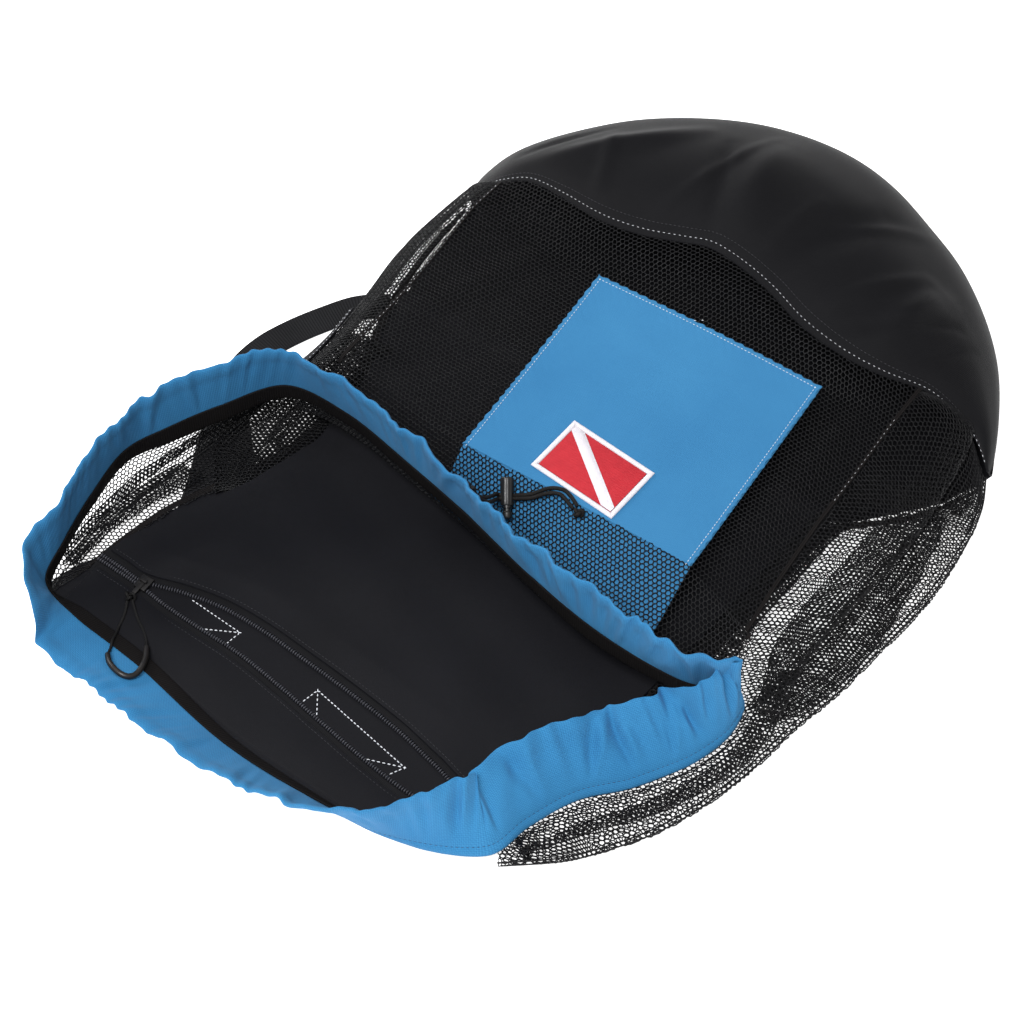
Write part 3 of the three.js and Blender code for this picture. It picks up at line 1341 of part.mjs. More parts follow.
// Zip slider: a channel over both coils, with a bridge for the tab
const sliderX = sliderAcross * bagWidth;
const sliderRows = [-1, 0, 1].map((end) => zipRows(sliderX + (end * sliderLength) / 2));
const sliderUpper = Math.max(...column(sliderRows, 'upper'));
const sliderLower = Math.min(...column(sliderRows, 'lower'));
const sliderY = (sliderUpper + sliderLower) / 2;
const coilTop = panelLift + nylonWall / 2 + clothGap + coilHeight;
const plateFrom = coilTop + fitGap;
const channelHalf = (sliderUpper - sliderLower + coilWidth) / 2 + fitGap;
const flangeFrom = tapeLift + tapeWall / 2 + fitGap;
const plateTo = plateFrom + sliderPlate;
const channel = new THREE.Shape([
  new THREE.Vector2(-channelHalf - sliderWall, flangeFrom),
  new THREE.Vector2(-channelHalf, flangeFrom),
  new THREE.Vector2(-channelHalf, plateFrom),
  new THREE.Vector2(channelHalf, plateFrom),
  new THREE.Vector2(channelHalf, flangeFrom),
  new THREE.Vector2(channelHalf + sliderWall, flangeFrom),
  new THREE.Vector2(channelHalf + sliderWall, plateTo),
  new THREE.Vector2(-channelHalf - sliderWall, plateTo),
]);
const along = new THREE.Matrix4().makeBasis(
  new THREE.Vector3(0, 1, 0),
  new THREE.Vector3(0, 0, 1),
  new THREE.Vector3(1, 0, 0),
);
const channelBody = new THREE.ExtrudeGeometry(channel, { depth: sliderLength, bevelEnabled: false })
  .applyMatrix4(along)
  .translate(sliderX - sliderLength / 2, sliderY, 0);
const bridgeHalf = tabWidth / 2 + fitGap + sliderWall;
const bridgeTop = plateTo + bridgeHeight;
const arch = new THREE.Shape([
  new THREE.Vector2(-bridgeHalf, plateTo - sliderPlate / 2),
  new THREE.Vector2(bridgeHalf, plateTo - sliderPlate / 2),
  new THREE.Vector2(bridgeHalf, bridgeTop - sliderWall / 2),
  new THREE.Vector2(bridgeHalf - sliderWall / 2, bridgeTop),
  new THREE.Vector2(-bridgeHalf + sliderWall / 2, bridgeTop),
  new THREE.Vector2(-bridgeHalf, bridgeTop - sliderWall / 2),
]);
const archTop = bridgeTop - sliderWall;
arch.holes.push(new THREE.Path([
  new THREE.Vector2(-bridgeHalf + sliderWall, plateTo),
  new THREE.Vector2(-bridgeHalf + sliderWall, archTop),
  new THREE.Vector2(bridgeHalf - sliderWall, archTop),
  new THREE.Vector2(bridgeHalf - sliderWall, plateTo),
]));
const bridge = new THREE.ExtrudeGeometry(arch, { depth: 2 * sliderWall, bevelEnabled: false })
  .rotateX(Math.PI / 2)
  .translate(sliderX, sliderY + sliderWall, 0);
addPiece('zip_slider', fromSolid(toSolid(channelBody).add(toSolid(bridge))), metal);

// Tab under the bridge, and the loop of cord knotted to its end
const tabLevel = plateTo + fitGap + tabCloth / 2;
const tab = new THREE.BoxGeometry(tabWidth, tabLength + 2 * sliderWall, tabCloth)
  .translate(sliderX, sliderY + 2 * sliderWall - tabLength / 2, tabLevel);
addPiece('zip_tab', tab, metal);

const sliderSeat = new THREE.Vector3(sliderX, sliderY, 0);
const loopPieces = [facing, cuff, cuffBinding];
const leftLeg = routeOver(leftLegTable, sliderSeat, loopPieces);
const grip = routeOver(gripTable, sliderSeat, loopPieces);
const rightLeg = routeOver(rightLegTable, sliderSeat, loopPieces);
addPiece('zip_loop_left', cordPiece(leftLeg, loopCordDiameter, 14), black);
addPiece('zip_grip', cordPiece(grip, gripDiameter, 22), plastic);
addPiece('zip_loop_right', cordPiece(rightLeg, loopCordDiameter, 10), black);
const pullKnotSeat = new THREE.Vector3(
  sliderX + 1,
  sliderY + sliderWall - tabLength - pullKnotWidth / 2 - fitGap,
  liningLift + nylonWall / 2 + clothGap + (knotSquash * pullKnotWidth) / 2,
);
addPiece('zip_knot', knotPiece(pullKnotSeat, pullKnotWidth, 0.85), black);

// Frame of the part: centred in plan, on the floor
bag.updateMatrixWorld(true);
const box = new THREE.Box3().setFromObject(bag);
bag.position.set(-(box.min.x + box.max.x) / 2, -(box.min.y + box.max.y) / 2, -box.min.z);
bag.updateMatrixWorld(true);
export default bag;
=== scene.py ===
# %% [markdown]
# # Dressing a mesh dive gear bag
# The bag lies empty on its back with its mouth spread open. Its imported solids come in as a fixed
# frame, and each soft piece is remade here as fine cloth in the place that its solid holds.
# All tables below are in millimetres or in shares of the bag's own width, length and depth.

# %% Load the frame
import math
import bpy
import numpy as np
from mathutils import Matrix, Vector
from mathutils.bvhtree import BVHTree


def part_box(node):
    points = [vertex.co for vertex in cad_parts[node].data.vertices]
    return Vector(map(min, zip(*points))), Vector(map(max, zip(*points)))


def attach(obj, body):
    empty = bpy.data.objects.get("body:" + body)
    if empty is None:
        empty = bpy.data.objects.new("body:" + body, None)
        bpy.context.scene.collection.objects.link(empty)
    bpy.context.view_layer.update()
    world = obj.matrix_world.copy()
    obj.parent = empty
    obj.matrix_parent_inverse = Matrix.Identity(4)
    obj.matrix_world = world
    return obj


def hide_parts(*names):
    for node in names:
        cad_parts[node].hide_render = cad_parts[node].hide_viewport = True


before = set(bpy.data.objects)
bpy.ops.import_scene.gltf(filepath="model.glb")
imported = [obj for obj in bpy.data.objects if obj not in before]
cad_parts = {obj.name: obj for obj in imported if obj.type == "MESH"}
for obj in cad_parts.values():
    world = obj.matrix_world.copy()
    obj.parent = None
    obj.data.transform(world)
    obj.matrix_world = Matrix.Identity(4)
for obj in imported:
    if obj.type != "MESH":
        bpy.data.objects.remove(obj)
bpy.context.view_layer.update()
scene = bpy.context.scene
BAG_WIDTH, BAG_LENGTH, BAG_DEPTH = 560.0, 750.0, 100.0
LAYER_GAP = 0.4
ZIP_START, ZIP_END = -0.404 * BAG_WIDTH, 0.24 * BAG_WIDTH
PANEL_END = 0.163 * BAG_LENGTH - LAYER_GAP
MM = 0.001
shift = np.array([
    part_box("zip_coil_lower")[0].x - ZIP_START / 1000,
    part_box("back_panel")[1].y - PANEL_END / 1000,
    0.0,
])


def link(name, data):
    """Object for some data, put in the scene."""
    made = bpy.data.objects.new(name, data)
    scene.collection.objects.link(made)
    return made


def dress(node=None):
    """Hides the imported solid that a remade piece stands for, if one is given."""
    if node:
        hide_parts(node)


# %% [markdown]
# ## Camera
# A product photograph of a lying bag is taken from high on one side with a long lens. Azimuth and
# elevation turn into one unit vector from the target back to the camera, so the view can be
# checked by eye against two angles and a distance.

# %% Camera
AZIMUTH, ELEVATION, CAMERA_DISTANCE, FOCAL_LENGTH = 34, 54, 1.9, 89.06


def aim(azimuth, elevation):
    """Unit vector from the bag back towards a camera or a light."""
    a, e = math.radians(azimuth), math.radians(elevation)
    return Vector((math.sin(a) * math.cos(e), -math.cos(a) * math.cos(e), math.sin(e)))


def look_at_bag(thing, direction, distance):
    thing.location = target + direction * distance
    thing.rotation_euler = direction.to_track_quat("Z", "Y").to_euler()


target = Vector((shift[0], shift[1], 0.0))
lens = bpy.data.cameras.new("camera")
lens.lens, lens.sensor_width, lens.sensor_fit = FOCAL_LENGTH, 36.0, "HORIZONTAL"
camera = link("camera", lens)
look_at_bag(camera, aim(AZIMUTH, ELEVATION), CAMERA_DISTANCE)
scene.camera = camera
print("camera at", tuple(round(v, 3) for v in camera.location))

# %% [markdown]
# ## Smooth curves and cloth grids
# A sewn bag is described best by a few stations with named columns: where the mouth's seam runs,
# how far the cuff leans, where the base starts. A Catmull-Rom curve through those rows gives a
# smooth seam at any fineness, and every cloth wall is then a grid of points over two such curves.

# %% Curves through tables
CURVE_STEPS = 2400


def spline(a, b, c, d, f):
    """Catmull-Rom value at a share f of the way from b to c."""
    bend, twist = 2 * a - 5 * b + 4 * c - d, 3 * b - a - 3 * c + d
    return 0.5 * (2 * b + (c - a) * f + bend * f * f + twist * f**3)


def smooth(values, t, closed=False):
    """Value of the smooth curve through the rows of a table, at place t."""
    values = np.asarray(values, float)
    count = len(values)
    t = np.asarray(t, float)
    if not closed:
        t = np.clip(t, 0, count - 1.000001)
    i = np.floor(t).astype(int)
    f = (t - i).reshape(t.shape + (1,) * (values.ndim - 1))

    def pick(k):
        return values[k % count] if closed else values[np.clip(k, 0, count - 1)]

    return spline(pick(i - 1), pick(i), pick(i + 1), pick(i + 2), f)


def steps_of(points, axis=0):
    return np.linalg.norm(np.diff(points, axis=axis), axis=-1)


def running(steps):
    return np.concatenate([[0], np.cumsum(steps)])


def even_places(points_at, last, count, closed=False):
    """Places along a curve that are evenly spaced by its length."""
    fine = np.linspace(0, last, CURVE_STEPS)
    run = running(steps_of(points_at(fine)))
    goals = np.linspace(0, run[-1], count + 1)[:-1] if closed else np.linspace(0, run[-1], count)
    return np.interp(goals, run, fine)


def even_curve(table, count):
    """Evenly spaced points on the smooth line through a table's rows."""
    return smooth(table, even_places(lambda t: smooth(table, t), len(table) - 1, count))


def lerp(a, b, t):
    return a + (b - a) * t


def unit(vectors):
    return vectors / np.maximum(np.linalg.norm(vectors, axis=-1, keepdims=True), 1e-9)


def step_between(low, high, value):
    t = np.clip((value - low) / (high - low), 0, 1)
    return t * t * (3 - 2 * t)


# %% Meshes from grids
def metres(points):
    return np.asarray(points, float) * MM + shift


def smoothed(mesh, angle):
    mesh.shade_smooth()
    mesh.set_sharp_from_angle(angle=math.radians(angle))


def make_piece(name, points, faces, corner_uv, material, body="bag", smooth_angle=50):
    """Mesh object in the frame's metres, with flat cloth coordinates as its UV map."""
    mesh = bpy.data.meshes.new(name)
    mesh.from_pydata(metres(points).tolist(), [], [tuple(map(int, face)) for face in faces])
    layer = mesh.uv_layers.new(name="cloth")
    layer.data.foreach_set("uv", np.asarray(corner_uv, float).reshape(-1))
    mesh.materials.append(material)
    smoothed(mesh, smooth_angle)
    piece = link(name, mesh)
    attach(piece, body)
    return piece


def grid_normals(grid):
    return unit(np.cross(np.gradient(grid, axis=0), np.gradient(grid, axis=1)))


def grid_quads(grid):
    """Numbers of a grid's points, and its faces as rows of four of them."""
    rows, columns = grid.shape[:2]
    at = np.arange(rows * columns).reshape(rows, columns)
    return at, np.stack([at[:-1, :-1], at[1:, :-1], at[1:, 1:], at[:-1, 1:]], axis=-1).reshape(-1, 4)


def cloth_uv(grid):
    """Flat coordinates of a grid in metres: how the cloth would lie before it was bent."""
    u = running(steps_of(grid).mean(axis=1))[:, None] + np.zeros(grid.shape[1])
    v = np.concatenate([np.zeros((len(grid), 1)), np.cumsum(steps_of(grid, 1), axis=1)], axis=1)
    v = v - v[:, [grid.shape[1] // 2]]
    return np.stack([u, v], axis=2) * MM


def cloth_wall(name, grid, wall, material, lift=0.0):
    """Closed cloth solid round a grid of its middle surface, with rounded edges."""
    normals = grid_normals(grid)
    top, bottom = grid + normals * (lift + wall / 2), grid + normals * (lift - wall / 2)
    at, quads = grid_quads(grid)
    rim = np.concatenate([at[:-1, 0], at[-1, :-1], at[:0:-1, -1], at[0, :0:-1]])
    middle = (top + bottom).reshape(-1, 3)[rim] / 2
    tangent = unit(np.roll(middle, -1, 0) - np.roll(middle, 1, 0))
    outward = unit(np.cross(tangent, normals.reshape(-1, 3)[rim]))
    edge = middle + outward * wall * 0.35
    count, total = len(rim), at.size
    k, after = np.arange(count), (np.arange(count) + 1) % count
    under = np.stack([total + rim, total + rim[after], 2 * total + after, 2 * total + k], axis=-1)
    over = np.stack([2 * total + k, 2 * total + after, rim[after], rim], axis=-1)
    faces = np.concatenate([quads, total + quads[:, ::-1], under, over])
    points = np.concatenate([top.reshape(-1, 3), bottom.reshape(-1, 3), edge])
    uv = cloth_uv(grid).reshape(-1, 2)
    uv = np.concatenate([uv, uv, uv[rim]])
    return make_piece(name, points, faces, uv[faces.reshape(-1)], material)


def swept(name, sections, material, ring=False, body="bag", smooth_angle=50):
    """Closed band or cord through sections of points, round a ring or along an open line."""
    rows, columns = sections.shape[:2]
    wrapped = np.concatenate([sections, sections[:1]]) if ring else sections
    wrapped = np.concatenate([wrapped, wrapped[:, :1]], axis=1)
    u, v = (running(steps_of(wrapped, axis).mean(axis=1 - axis)) * MM for axis in (0, 1))
    i, j = np.meshgrid(np.arange(rows if ring else rows - 1), np.arange(columns), indexing="ij")
    i, j = i.reshape(-1), j.reshape(-1)
    around = ((0, 0), (1, 0), (1, 1), (0, 1))
    faces = np.stack([((i + di) % rows) * columns + (j + dj) % columns for di, dj in around], axis=-1)
    uv = np.stack([np.stack([u[i + di], v[j + dj]], axis=-1) for di, dj in around], axis=1)
    flow = np.cross(sections[1, 0] - sections[0, 0], sections[0, 1] - sections[0, 0])
    inside_out = np.dot(flow, sections[0, 0] - sections[0].mean(axis=0)) < 0
    if inside_out:
        faces, uv = faces[:, ::-1], uv[:, ::-1]
    faces, uv = faces.tolist(), uv.reshape(-1, 2)
    if not ring:
        ends = [list(range(columns))[::-1], [(rows - 1) * columns + k for k in range(columns)]]
        faces += [end[::-1] for end in ends] if inside_out else ends
        uv = np.concatenate([uv, np.zeros((2 * columns, 2))])
    return make_piece(name, sections.reshape(-1, 3), faces, uv, material, body, smooth_angle)


def round_sections(points, radius, sides=12):
    """Round sections along a line of points, turned as little as possible from one to the next."""
    points = np.asarray(points, float)
    radius = np.broadcast_to(radius, (len(points),))
    tangents = unit(np.gradient(points, axis=0))
    side = unit(np.cross(tangents[0], (0, 0, 1.0)) + 1e-6)
    angles = np.linspace(0, 2 * math.pi, sides, endpoint=False)
    sections = []
    for point, tangent, size in zip(points, tangents, radius):
        side = unit(side - tangent * np.dot(side, tangent))
        circle = np.cos(angles)[:, None] * side + np.sin(angles)[:, None] * np.cross(tangent, side)
        sections.append(point + circle * size)
    return np.array(sections)


def curve_through(points, count):
    return even_curve(np.asarray(points, float), count)


print("mesh helpers ready")

# %% [markdown]
# ## The mouth ring
# The drawstring mouth is a loop of cloth standing, leaning or folded over at each place. One table
# gives the loop's lower seam, its lean and its height; everything sewn to the mouth reads it.

# %% Mouth ring
RING = np.array([
    # across, along, up, lean, tall
    (-0.423, -0.337, 0.11, 80, 0.98), (-0.437, -0.3, 0.22, 93, 1), (-0.446, -0.247, 0.32, 95, 1),
    (-0.446, -0.193, 0.42, 98, 1), (-0.415, -0.149, 0.46, 90, 1), (-0.378, -0.1, 0.48, 89, 1),
    (-0.325, -0.042, 0.5, 97, 1), (-0.227, -0.036, 0.5, 98, 1), (-0.116, -0.051, 0.48, 96, 1),
    (-0.005, -0.068, 0.46, 98, 1), (0.111, -0.092, 0.44, 96, 1), (0.232, -0.109, 0.4, 90, 1),
    (0.348, -0.105, 0.34, 96, 1), (0.416, -0.079, 0.24, 99, 1), (0.429, -0.107, 0.18, 108, 1),
    (0.414, -0.149, 0.13, 128, 1), (0.368, -0.203, 0.1, 138, 1.02), (0.318, -0.245, 0.09, 133, 1.02),
    (0.289, -0.291, 0.08, 130, 1.03), (0.271, -0.336, 0.08, 126, 1.1), (0.205, -0.363, 0.08, 104, 1.05),
    (0.132, -0.375, 0.08, 72, 1), (0.039, -0.377, 0.08, 52, 1), (-0.089, -0.372, 0.08, 40, 0.98),
    (-0.245, -0.347, 0.08, 26, 0.98), (-0.357, -0.338, 0.08, 28, 0.96),
])
CUFF_HEIGHT, CUFF_WALL, CASING_BULGE = 57.0, 2.0, 1.7
GATHER_DEPTH, GATHER_COUNT, GATHER_START, RIM_WAVE, RIM_WAVES = 2.4, 31, 11.4, 1.4, 17
BINDING_START, BINDING_HEIGHT, BINDING_WALL = 2.4, 9.0, 1.2
RING_STEPS, SOLID_STEPS = 1400, 102
SCALE = np.array([BAG_WIDTH, BAG_LENGTH, BAG_DEPTH])


def ring_point(t):
    return smooth(RING[:, :3] * SCALE, t, closed=True)


def ring_frame(t):
    """Lower seam of the cuff, the way up its cloth, the way out of it and its height."""
    t = np.asarray(t, float)
    row = smooth(RING, t, closed=True)
    travel = ring_point(t + 0.05) - ring_point(t - 0.05)
    outward = unit(np.stack([-travel[..., 1], travel[..., 0], 0 * travel[..., 0]], axis=-1))
    lean = np.radians(row[..., 3])[..., None]
    upright = np.array([0, 0, 1.0])
    rise = outward * np.cos(lean) + upright * np.sin(lean)
    face = outward * np.sin(lean) - upright * np.cos(lean)
    return ring_point(t), rise, face, row[..., 4] * CUFF_HEIGHT


def gather(turn, share):
    """Ripple of the gathered cloth at a turn round the mouth and a share up the band."""
    phase = turn * 2 * math.pi
    wave = np.sin(phase * GATHER_COUNT)
    wave = wave + 0.6 * np.sin(phase * GATHER_COUNT * 0.58 + 1.3 * np.sin(phase * 3))
    return GATHER_DEPTH * 0.7 * wave * share**0.9


def loose_share(up_band, height):
    """How free the cuff's cloth is: 0 up to where its gathers start and 1 at the rim."""
    return np.clip((up_band - GATHER_START) / (height - GATHER_START), 0, 1)


places = even_places(ring_point, len(RING), RING_STEPS, closed=True)
RING_LENGTH = float(steps_of(ring_point(places)).sum())
print("mouth ring", round(RING_LENGTH), "mm")

# %% [markdown]
# ## The route of the cords
# The drawcord comes out of its eyelet behind the front cuff, goes through a spring lock and lies on
# the pocket, its two strands knotted together. The zip's loop lies on the facing and the cuff.
# Cords are settled early, because they spread over other pieces: each follows the same offsets as
# its solid, and its height is read off the solid cloth below with a ray.

# %% Seats for the cords
def solid_tree(names):
    """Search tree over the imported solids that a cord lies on."""
    points, faces = [], []
    for name in names:
        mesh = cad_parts[name].data
        start = len(points)
        points += [tuple(v.co) for v in mesh.vertices]
        faces += [tuple(start + k for k in face.vertices) for face in mesh.polygons]
    return BVHTree.FromPolygons(points, faces)


def cloth_under(x, y, tree):
    """Height in millimetres of the solid cloth below a place."""
    for reach in (0, 4, -4):
        start = Vector(metres((x, y + reach, 300.0)).tolist())
        hit = tree.ray_cast(start, Vector((0, 0, -1.0)))[0]
        if hit:
            return hit.z * 1000
    raise ValueError("no cloth under a cord")


def route_over(rows, seat, tree):
    """Points of a cord from how far right and away of its seat and how high over the cloth they lie."""
    spots = [(seat[0] + right, seat[1] + away, rise) for right, away, rise in rows]
    return np.array([(x, y, cloth_under(x, y, tree) + rise) for x, y, rise in spots])


LOCK_CENTRE = np.array([0.007, -0.0165, 0.429]) * SCALE
heading, dip = math.radians(-56), math.radians(31.7)
lock_axis = np.array([
    math.cos(heading) * math.cos(dip), math.sin(heading) * math.cos(dip), -math.sin(dip),
])
cord_axis = unit(np.array([-lock_axis[1], lock_axis[0], 0]))
lock_side = np.cross(cord_axis, lock_axis)
hole_centre = LOCK_CENTRE + lock_axis * 4
print("lock axis", lock_axis.round(4), "hole", hole_centre.round(1))

# %% Drawcord route
DRAWCORD, CORD_GAP, EXIT_PLACE = 3.0, 0.3, 8.85
# share of the cuff's height, way off its cloth
EXIT = [(0.8, 0.2), (0.68, 1), (0.52, 3), (0.34, 7), (0.18, 13)]
BEYOND = [
    # right, away, rise, half the distance between the strands
    (17.4, 4.6, 4.3, 1.8), (23.1, 9, 4, 2), (28, 12.1, 4.5, 2.2), (33, 15.2, 3, 2.3),
    (38.2, 16.5, 3, 2.4), (43.7, 14.8, 4.3, 2.4), (48.7, 12.6, 4, 2.2), (52, 11.2, 4, 1.9),
]
pocket_tree = solid_tree(["pocket_net", "pocket_face"])
stations = even_places(ring_point, len(RING), SOLID_STEPS, closed=True)
exit_index = int(np.argmax(stations >= EXIT_PLACE))
exit_turn = exit_index / SOLID_STEPS
foot, rise, face, height = ring_frame(stations[exit_index])
exit_route = []
for tall, off in EXIT:
    share = float(loose_share(tall * height, height))
    depth = CUFF_WALL / 2 + CASING_BULGE + CORD_GAP + DRAWCORD / 2 + off
    edge = RIM_WAVE * share**2 * math.sin(exit_turn * 2 * math.pi * RIM_WAVES + 1)
    ripple = float(gather(exit_turn, share))
    exit_route.append(foot + rise * (tall * height + edge) + face * (depth + ripple))
hole_route = [hole_centre + cord_axis * step * 5 for step in (-1.5, -0.75, 0.6, 1.2)]
beyond = route_over([row[:3] for row in BEYOND], LOCK_CENTRE, pocket_tree)
cord_route = np.array([*exit_route, *hole_route, *beyond])
strand_apart = DRAWCORD / 2 + 0.1
hole_spread = lock_axis * 0.8 - lock_side * 0.6


def strand(side):
    """One of the two strands, beside the middle line by its half distance."""
    points = []
    for i, point in enumerate(cord_route):
        travel = cord_route[min(i + 1, len(cord_route) - 1)] - cord_route[max(i - 1, 0)]
        level = unit(np.array([travel[1], -travel[0], 0]))
        step = i - len(exit_route)
        in_lock = 0 <= step < len(hole_route)
        apart = strand_apart + (0 if step > 0 else 0.8)
        if step >= len(hole_route):
            apart = BEYOND[step - len(hole_route)][3]
        if step == -1:
            level = unit(level + hole_spread)
        points.append(point + (hole_spread if in_lock else level) * side * apart)
    return curve_through(points, 60)


knot_place = route_over([(56.5, 8.8, 4.8)], LOCK_CENTRE, pocket_tree)[0]
strands = {"far": strand(-1), "near": strand(1)}
print("drawcord knot at", knot_place.round(1))

# %% Zip loop route
zip_seat = np.array([-0.3286 * BAG_WIDTH, -208.46, 0.0])
# right, away, rise
LEFT_LEG = [
    (2, -21.1, 3.8), (4.5, -25.5, 3.3), (7.4, -32, 2.2), (10, -40.5, 2.2), (13.5, -48.5, 3.0),
    (17, -55.5, 2.6), (19.7, -60.5, 1.9), (22.6, -65.6, 2.6), (24.25, -68.6, 3.6),
]
GRIP = [
    (24.5, -69, 3.7), (32.7, -75.5, 3.7), (43, -78.2, 3.7), (49.6, -76.2, 3.8), (51.7, -70, 4.2),
    (50, -61.5, 4.2), (45.5, -53, 4.2), (38.5, -44.3, 4.2),
]
RIGHT_LEG = [
    (38.15, -43.85, 4.2), (36, -41.2, 3), (32, -37.5, 1.8), (26, -33, 1.7), (18, -28.5, 2),
    (11, -23.5, 3), (5.3, -19, 3.8),
]
loop_tree = solid_tree(["facing", "cuff", "cuff_binding"])
left_leg, grip_line, right_leg = (
    curve_through(route_over(rows, zip_seat, loop_tree), count)
    for rows, count in ((LEFT_LEG, 30), (GRIP, 40), (RIGHT_LEG, 30))
)
print("zip loop legs", len(left_leg), len(right_leg), "points")

# %% [markdown]
# ## Materials
# The bag is made of few cloths: blue canvas, black nylon, black net, webbing and zip tape, with
# thread, plastic and a little blackened metal. A weave is drawn from the flat cloth coordinates,
# so its threads run with the cloth and keep their true pitch in millimetres. Noise at hand size
# varies the shade a little, as dye and handling do.

# %% Node helpers
def add(tree, kind, inputs=(), **settings):
    """Adds a node, sets its properties and fills its sockets with values or links."""
    made = tree.nodes.new(kind)
    for name, value in settings.items():
        setattr(made, name, value)
    for socket, value in dict(inputs).items():
        if isinstance(value, bpy.types.NodeSocket):
            tree.links.new(value, made.inputs[socket])
        else:
            made.inputs[socket].default_value = value
    return made


def calc(tree, operation, a, b=0.0, c=0.0):
    return add(tree, "ShaderNodeMath", {0: a, 1: b, 2: c}, operation=operation).outputs[0]


def rgb(red, green, blue):
    """Linear colour from the shade read on a screen."""
    linear = (((v + 0.055) / 1.055) ** 2.4 if v > 0.04 else v / 12.92 for v in (red, green, blue))
    return (*linear, 1)


def grey(level, blue=0.0):
    """Nearly black shade with a little more blue."""
    return rgb(level, level, level + blue)


def start_material(name, roughness, sheen=0.0, metallic=0.0, specular=0.5):
    material = bpy.data.materials.new(name)
    material.use_nodes = True
    shader = material.node_tree.nodes["Principled BSDF"]
    shader.inputs["Roughness"].default_value = roughness
    shader.inputs["Sheen Weight"].default_value = sheen
    shader.inputs["Sheen Roughness"].default_value = 0.5
    shader.inputs["Metallic"].default_value = metallic
    shader.inputs["Specular IOR Level"].default_value = specular
    return material, material.node_tree, shader


def shaded(tree, shader, dark, light, factor):
    """Base colour between a dark and a light shade."""
    mixed = add(tree, "ShaderNodeMix", {0: factor, 6: dark, 7: light}, data_type="RGBA")
    tree.links.new(mixed.outputs[2], shader.inputs["Base Color"])


def bumped(tree, shader, height, distance, strength=1.0):
    bump = add(tree, "ShaderNodeBump", {"Height": height, "Distance": distance, "Strength": strength})
    tree.links.new(bump.outputs[0], shader.inputs["Normal"])


def cloth_axes(tree):
    """The two flat cloth coordinates in metres."""
    source = add(tree, "ShaderNodeUVMap", uv_map="cloth")
    parts = add(tree, "ShaderNodeSeparateXYZ", {0: source.outputs[0]})
    return parts.outputs[0], parts.outputs[1]


def noise(tree, scale, detail=3.0, roughness=0.5):
    place = add(tree, "ShaderNodeTexCoord")
    made = add(tree, "ShaderNodeTexNoise", {
        "Vector": place.outputs["Object"], "Scale": scale, "Detail": detail, "Roughness": roughness,
    })
    return made.outputs[0]


def ridge(tree, coordinate, pitch, shape=1.0):
    """Rounded ridges of a given pitch along one coordinate, 0 in the grooves and 1 on top."""
    wave = calc(tree, "SINE", calc(tree, "MULTIPLY", coordinate, 2 * math.pi / pitch))
    return calc(tree, "POWER", calc(tree, "MULTIPLY_ADD", wave, 0.5, 0.5), shape)


def plain_weave(tree, pitch):
    """Height of threads that pass over and under each other."""
    u, v = cloth_axes(tree)
    warp, weft = ridge(tree, u, pitch), ridge(tree, v, pitch)
    waves = [calc(tree, "SINE", calc(tree, "MULTIPLY", axis, math.pi / pitch)) for axis in (u, v)]
    over = calc(tree, "MULTIPLY_ADD", calc(tree, "MULTIPLY", *waves), 0.5, 0.5)
    under = calc(tree, "SUBTRACT", 1.0, over)
    first = calc(tree, "MULTIPLY", warp, over)
    return calc(tree, "ADD", first, calc(tree, "MULTIPLY", weft, under))


# %% Cloth materials
def woven_material(name, dark, light, pitch, depth, roughness, sheen, specular):
    """Plain-woven cloth: threads in relief, darker between them, and a soft change of shade."""
    material, tree, shader = start_material(name, roughness, sheen, specular=specular)
    weave = plain_weave(tree, pitch)
    cloudy = noise(tree, 9.0, 4.0, 0.6)
    fibre = noise(tree, 900.0, 2.0)
    factor = calc(tree, "MULTIPLY_ADD", weave, 0.45, calc(tree, "MULTIPLY", cloudy, 0.55))
    factor = calc(tree, "MULTIPLY_ADD", fibre, 0.25, calc(tree, "SUBTRACT", factor, 0.12))
    shaded(tree, shader, dark, light, factor)
    wrinkle = calc(tree, "MULTIPLY_ADD", noise(tree, 45.0, 3.0), 1.6, weave)
    bumped(tree, shader, wrinkle, depth)
    return material


blue_canvas, pocket_canvas, black_nylon, cap_nylon = (
    woven_material(name, dark, light, pitch / 1000, depth / 1000, roughness, sheen, specular=specular)
    for name, dark, light, pitch, depth, roughness, sheen, specular in (
        ("blue_canvas", rgb(0.095, 0.345, 0.54), rgb(0.25, 0.55, 0.745), 1.3, 0.22, 0.85, 0.05, 0.15),
        ("pocket_canvas", rgb(0.14, 0.38, 0.57), rgb(0.26, 0.53, 0.71), 1.0, 0.14, 0.85, 0.05, 0.15),
        ("black_nylon", grey(0.04, 0.008), grey(0.10, 0.018), 0.9, 0.10, 0.6, 0.0, 0.1),
        ("cap_nylon", grey(0.035, 0.007), grey(0.09, 0.012), 0.9, 0.10, 0.55, 0.0, 0.1),
    )
)


def ribbed_material(name, dark, light, pitch, depth, roughness):
    """Webbing, tape or binding: close ribs across its length and a finer grain along it."""
    material, tree, shader = start_material(name, roughness, specular=0.1)
    u, v = cloth_axes(tree)
    ribs = ridge(tree, u, pitch, 0.7)
    height = calc(tree, "MULTIPLY_ADD", ridge(tree, v, pitch * 0.6), 0.3, ribs)
    factor = calc(tree, "MULTIPLY_ADD", noise(tree, 30.0), 0.5, calc(tree, "MULTIPLY", ribs, 0.5))
    shaded(tree, shader, dark, light, factor)
    bumped(tree, shader, height, depth)
    return material


webbing = ribbed_material("webbing", grey(0.045, 0.005), grey(0.14, 0.01), 0.0022, 0.0003, 0.7)
binding_tape = ribbed_material(
    "binding_tape", rgb(0.035, 0.03, 0.03), rgb(0.11, 0.10, 0.10), 0.0018, 0.00025, 0.75,
)
zip_tape = ribbed_material("zip_tape", grey(0.04, 0.005), grey(0.11, 0.01), 0.0012, 0.00015, 0.75)


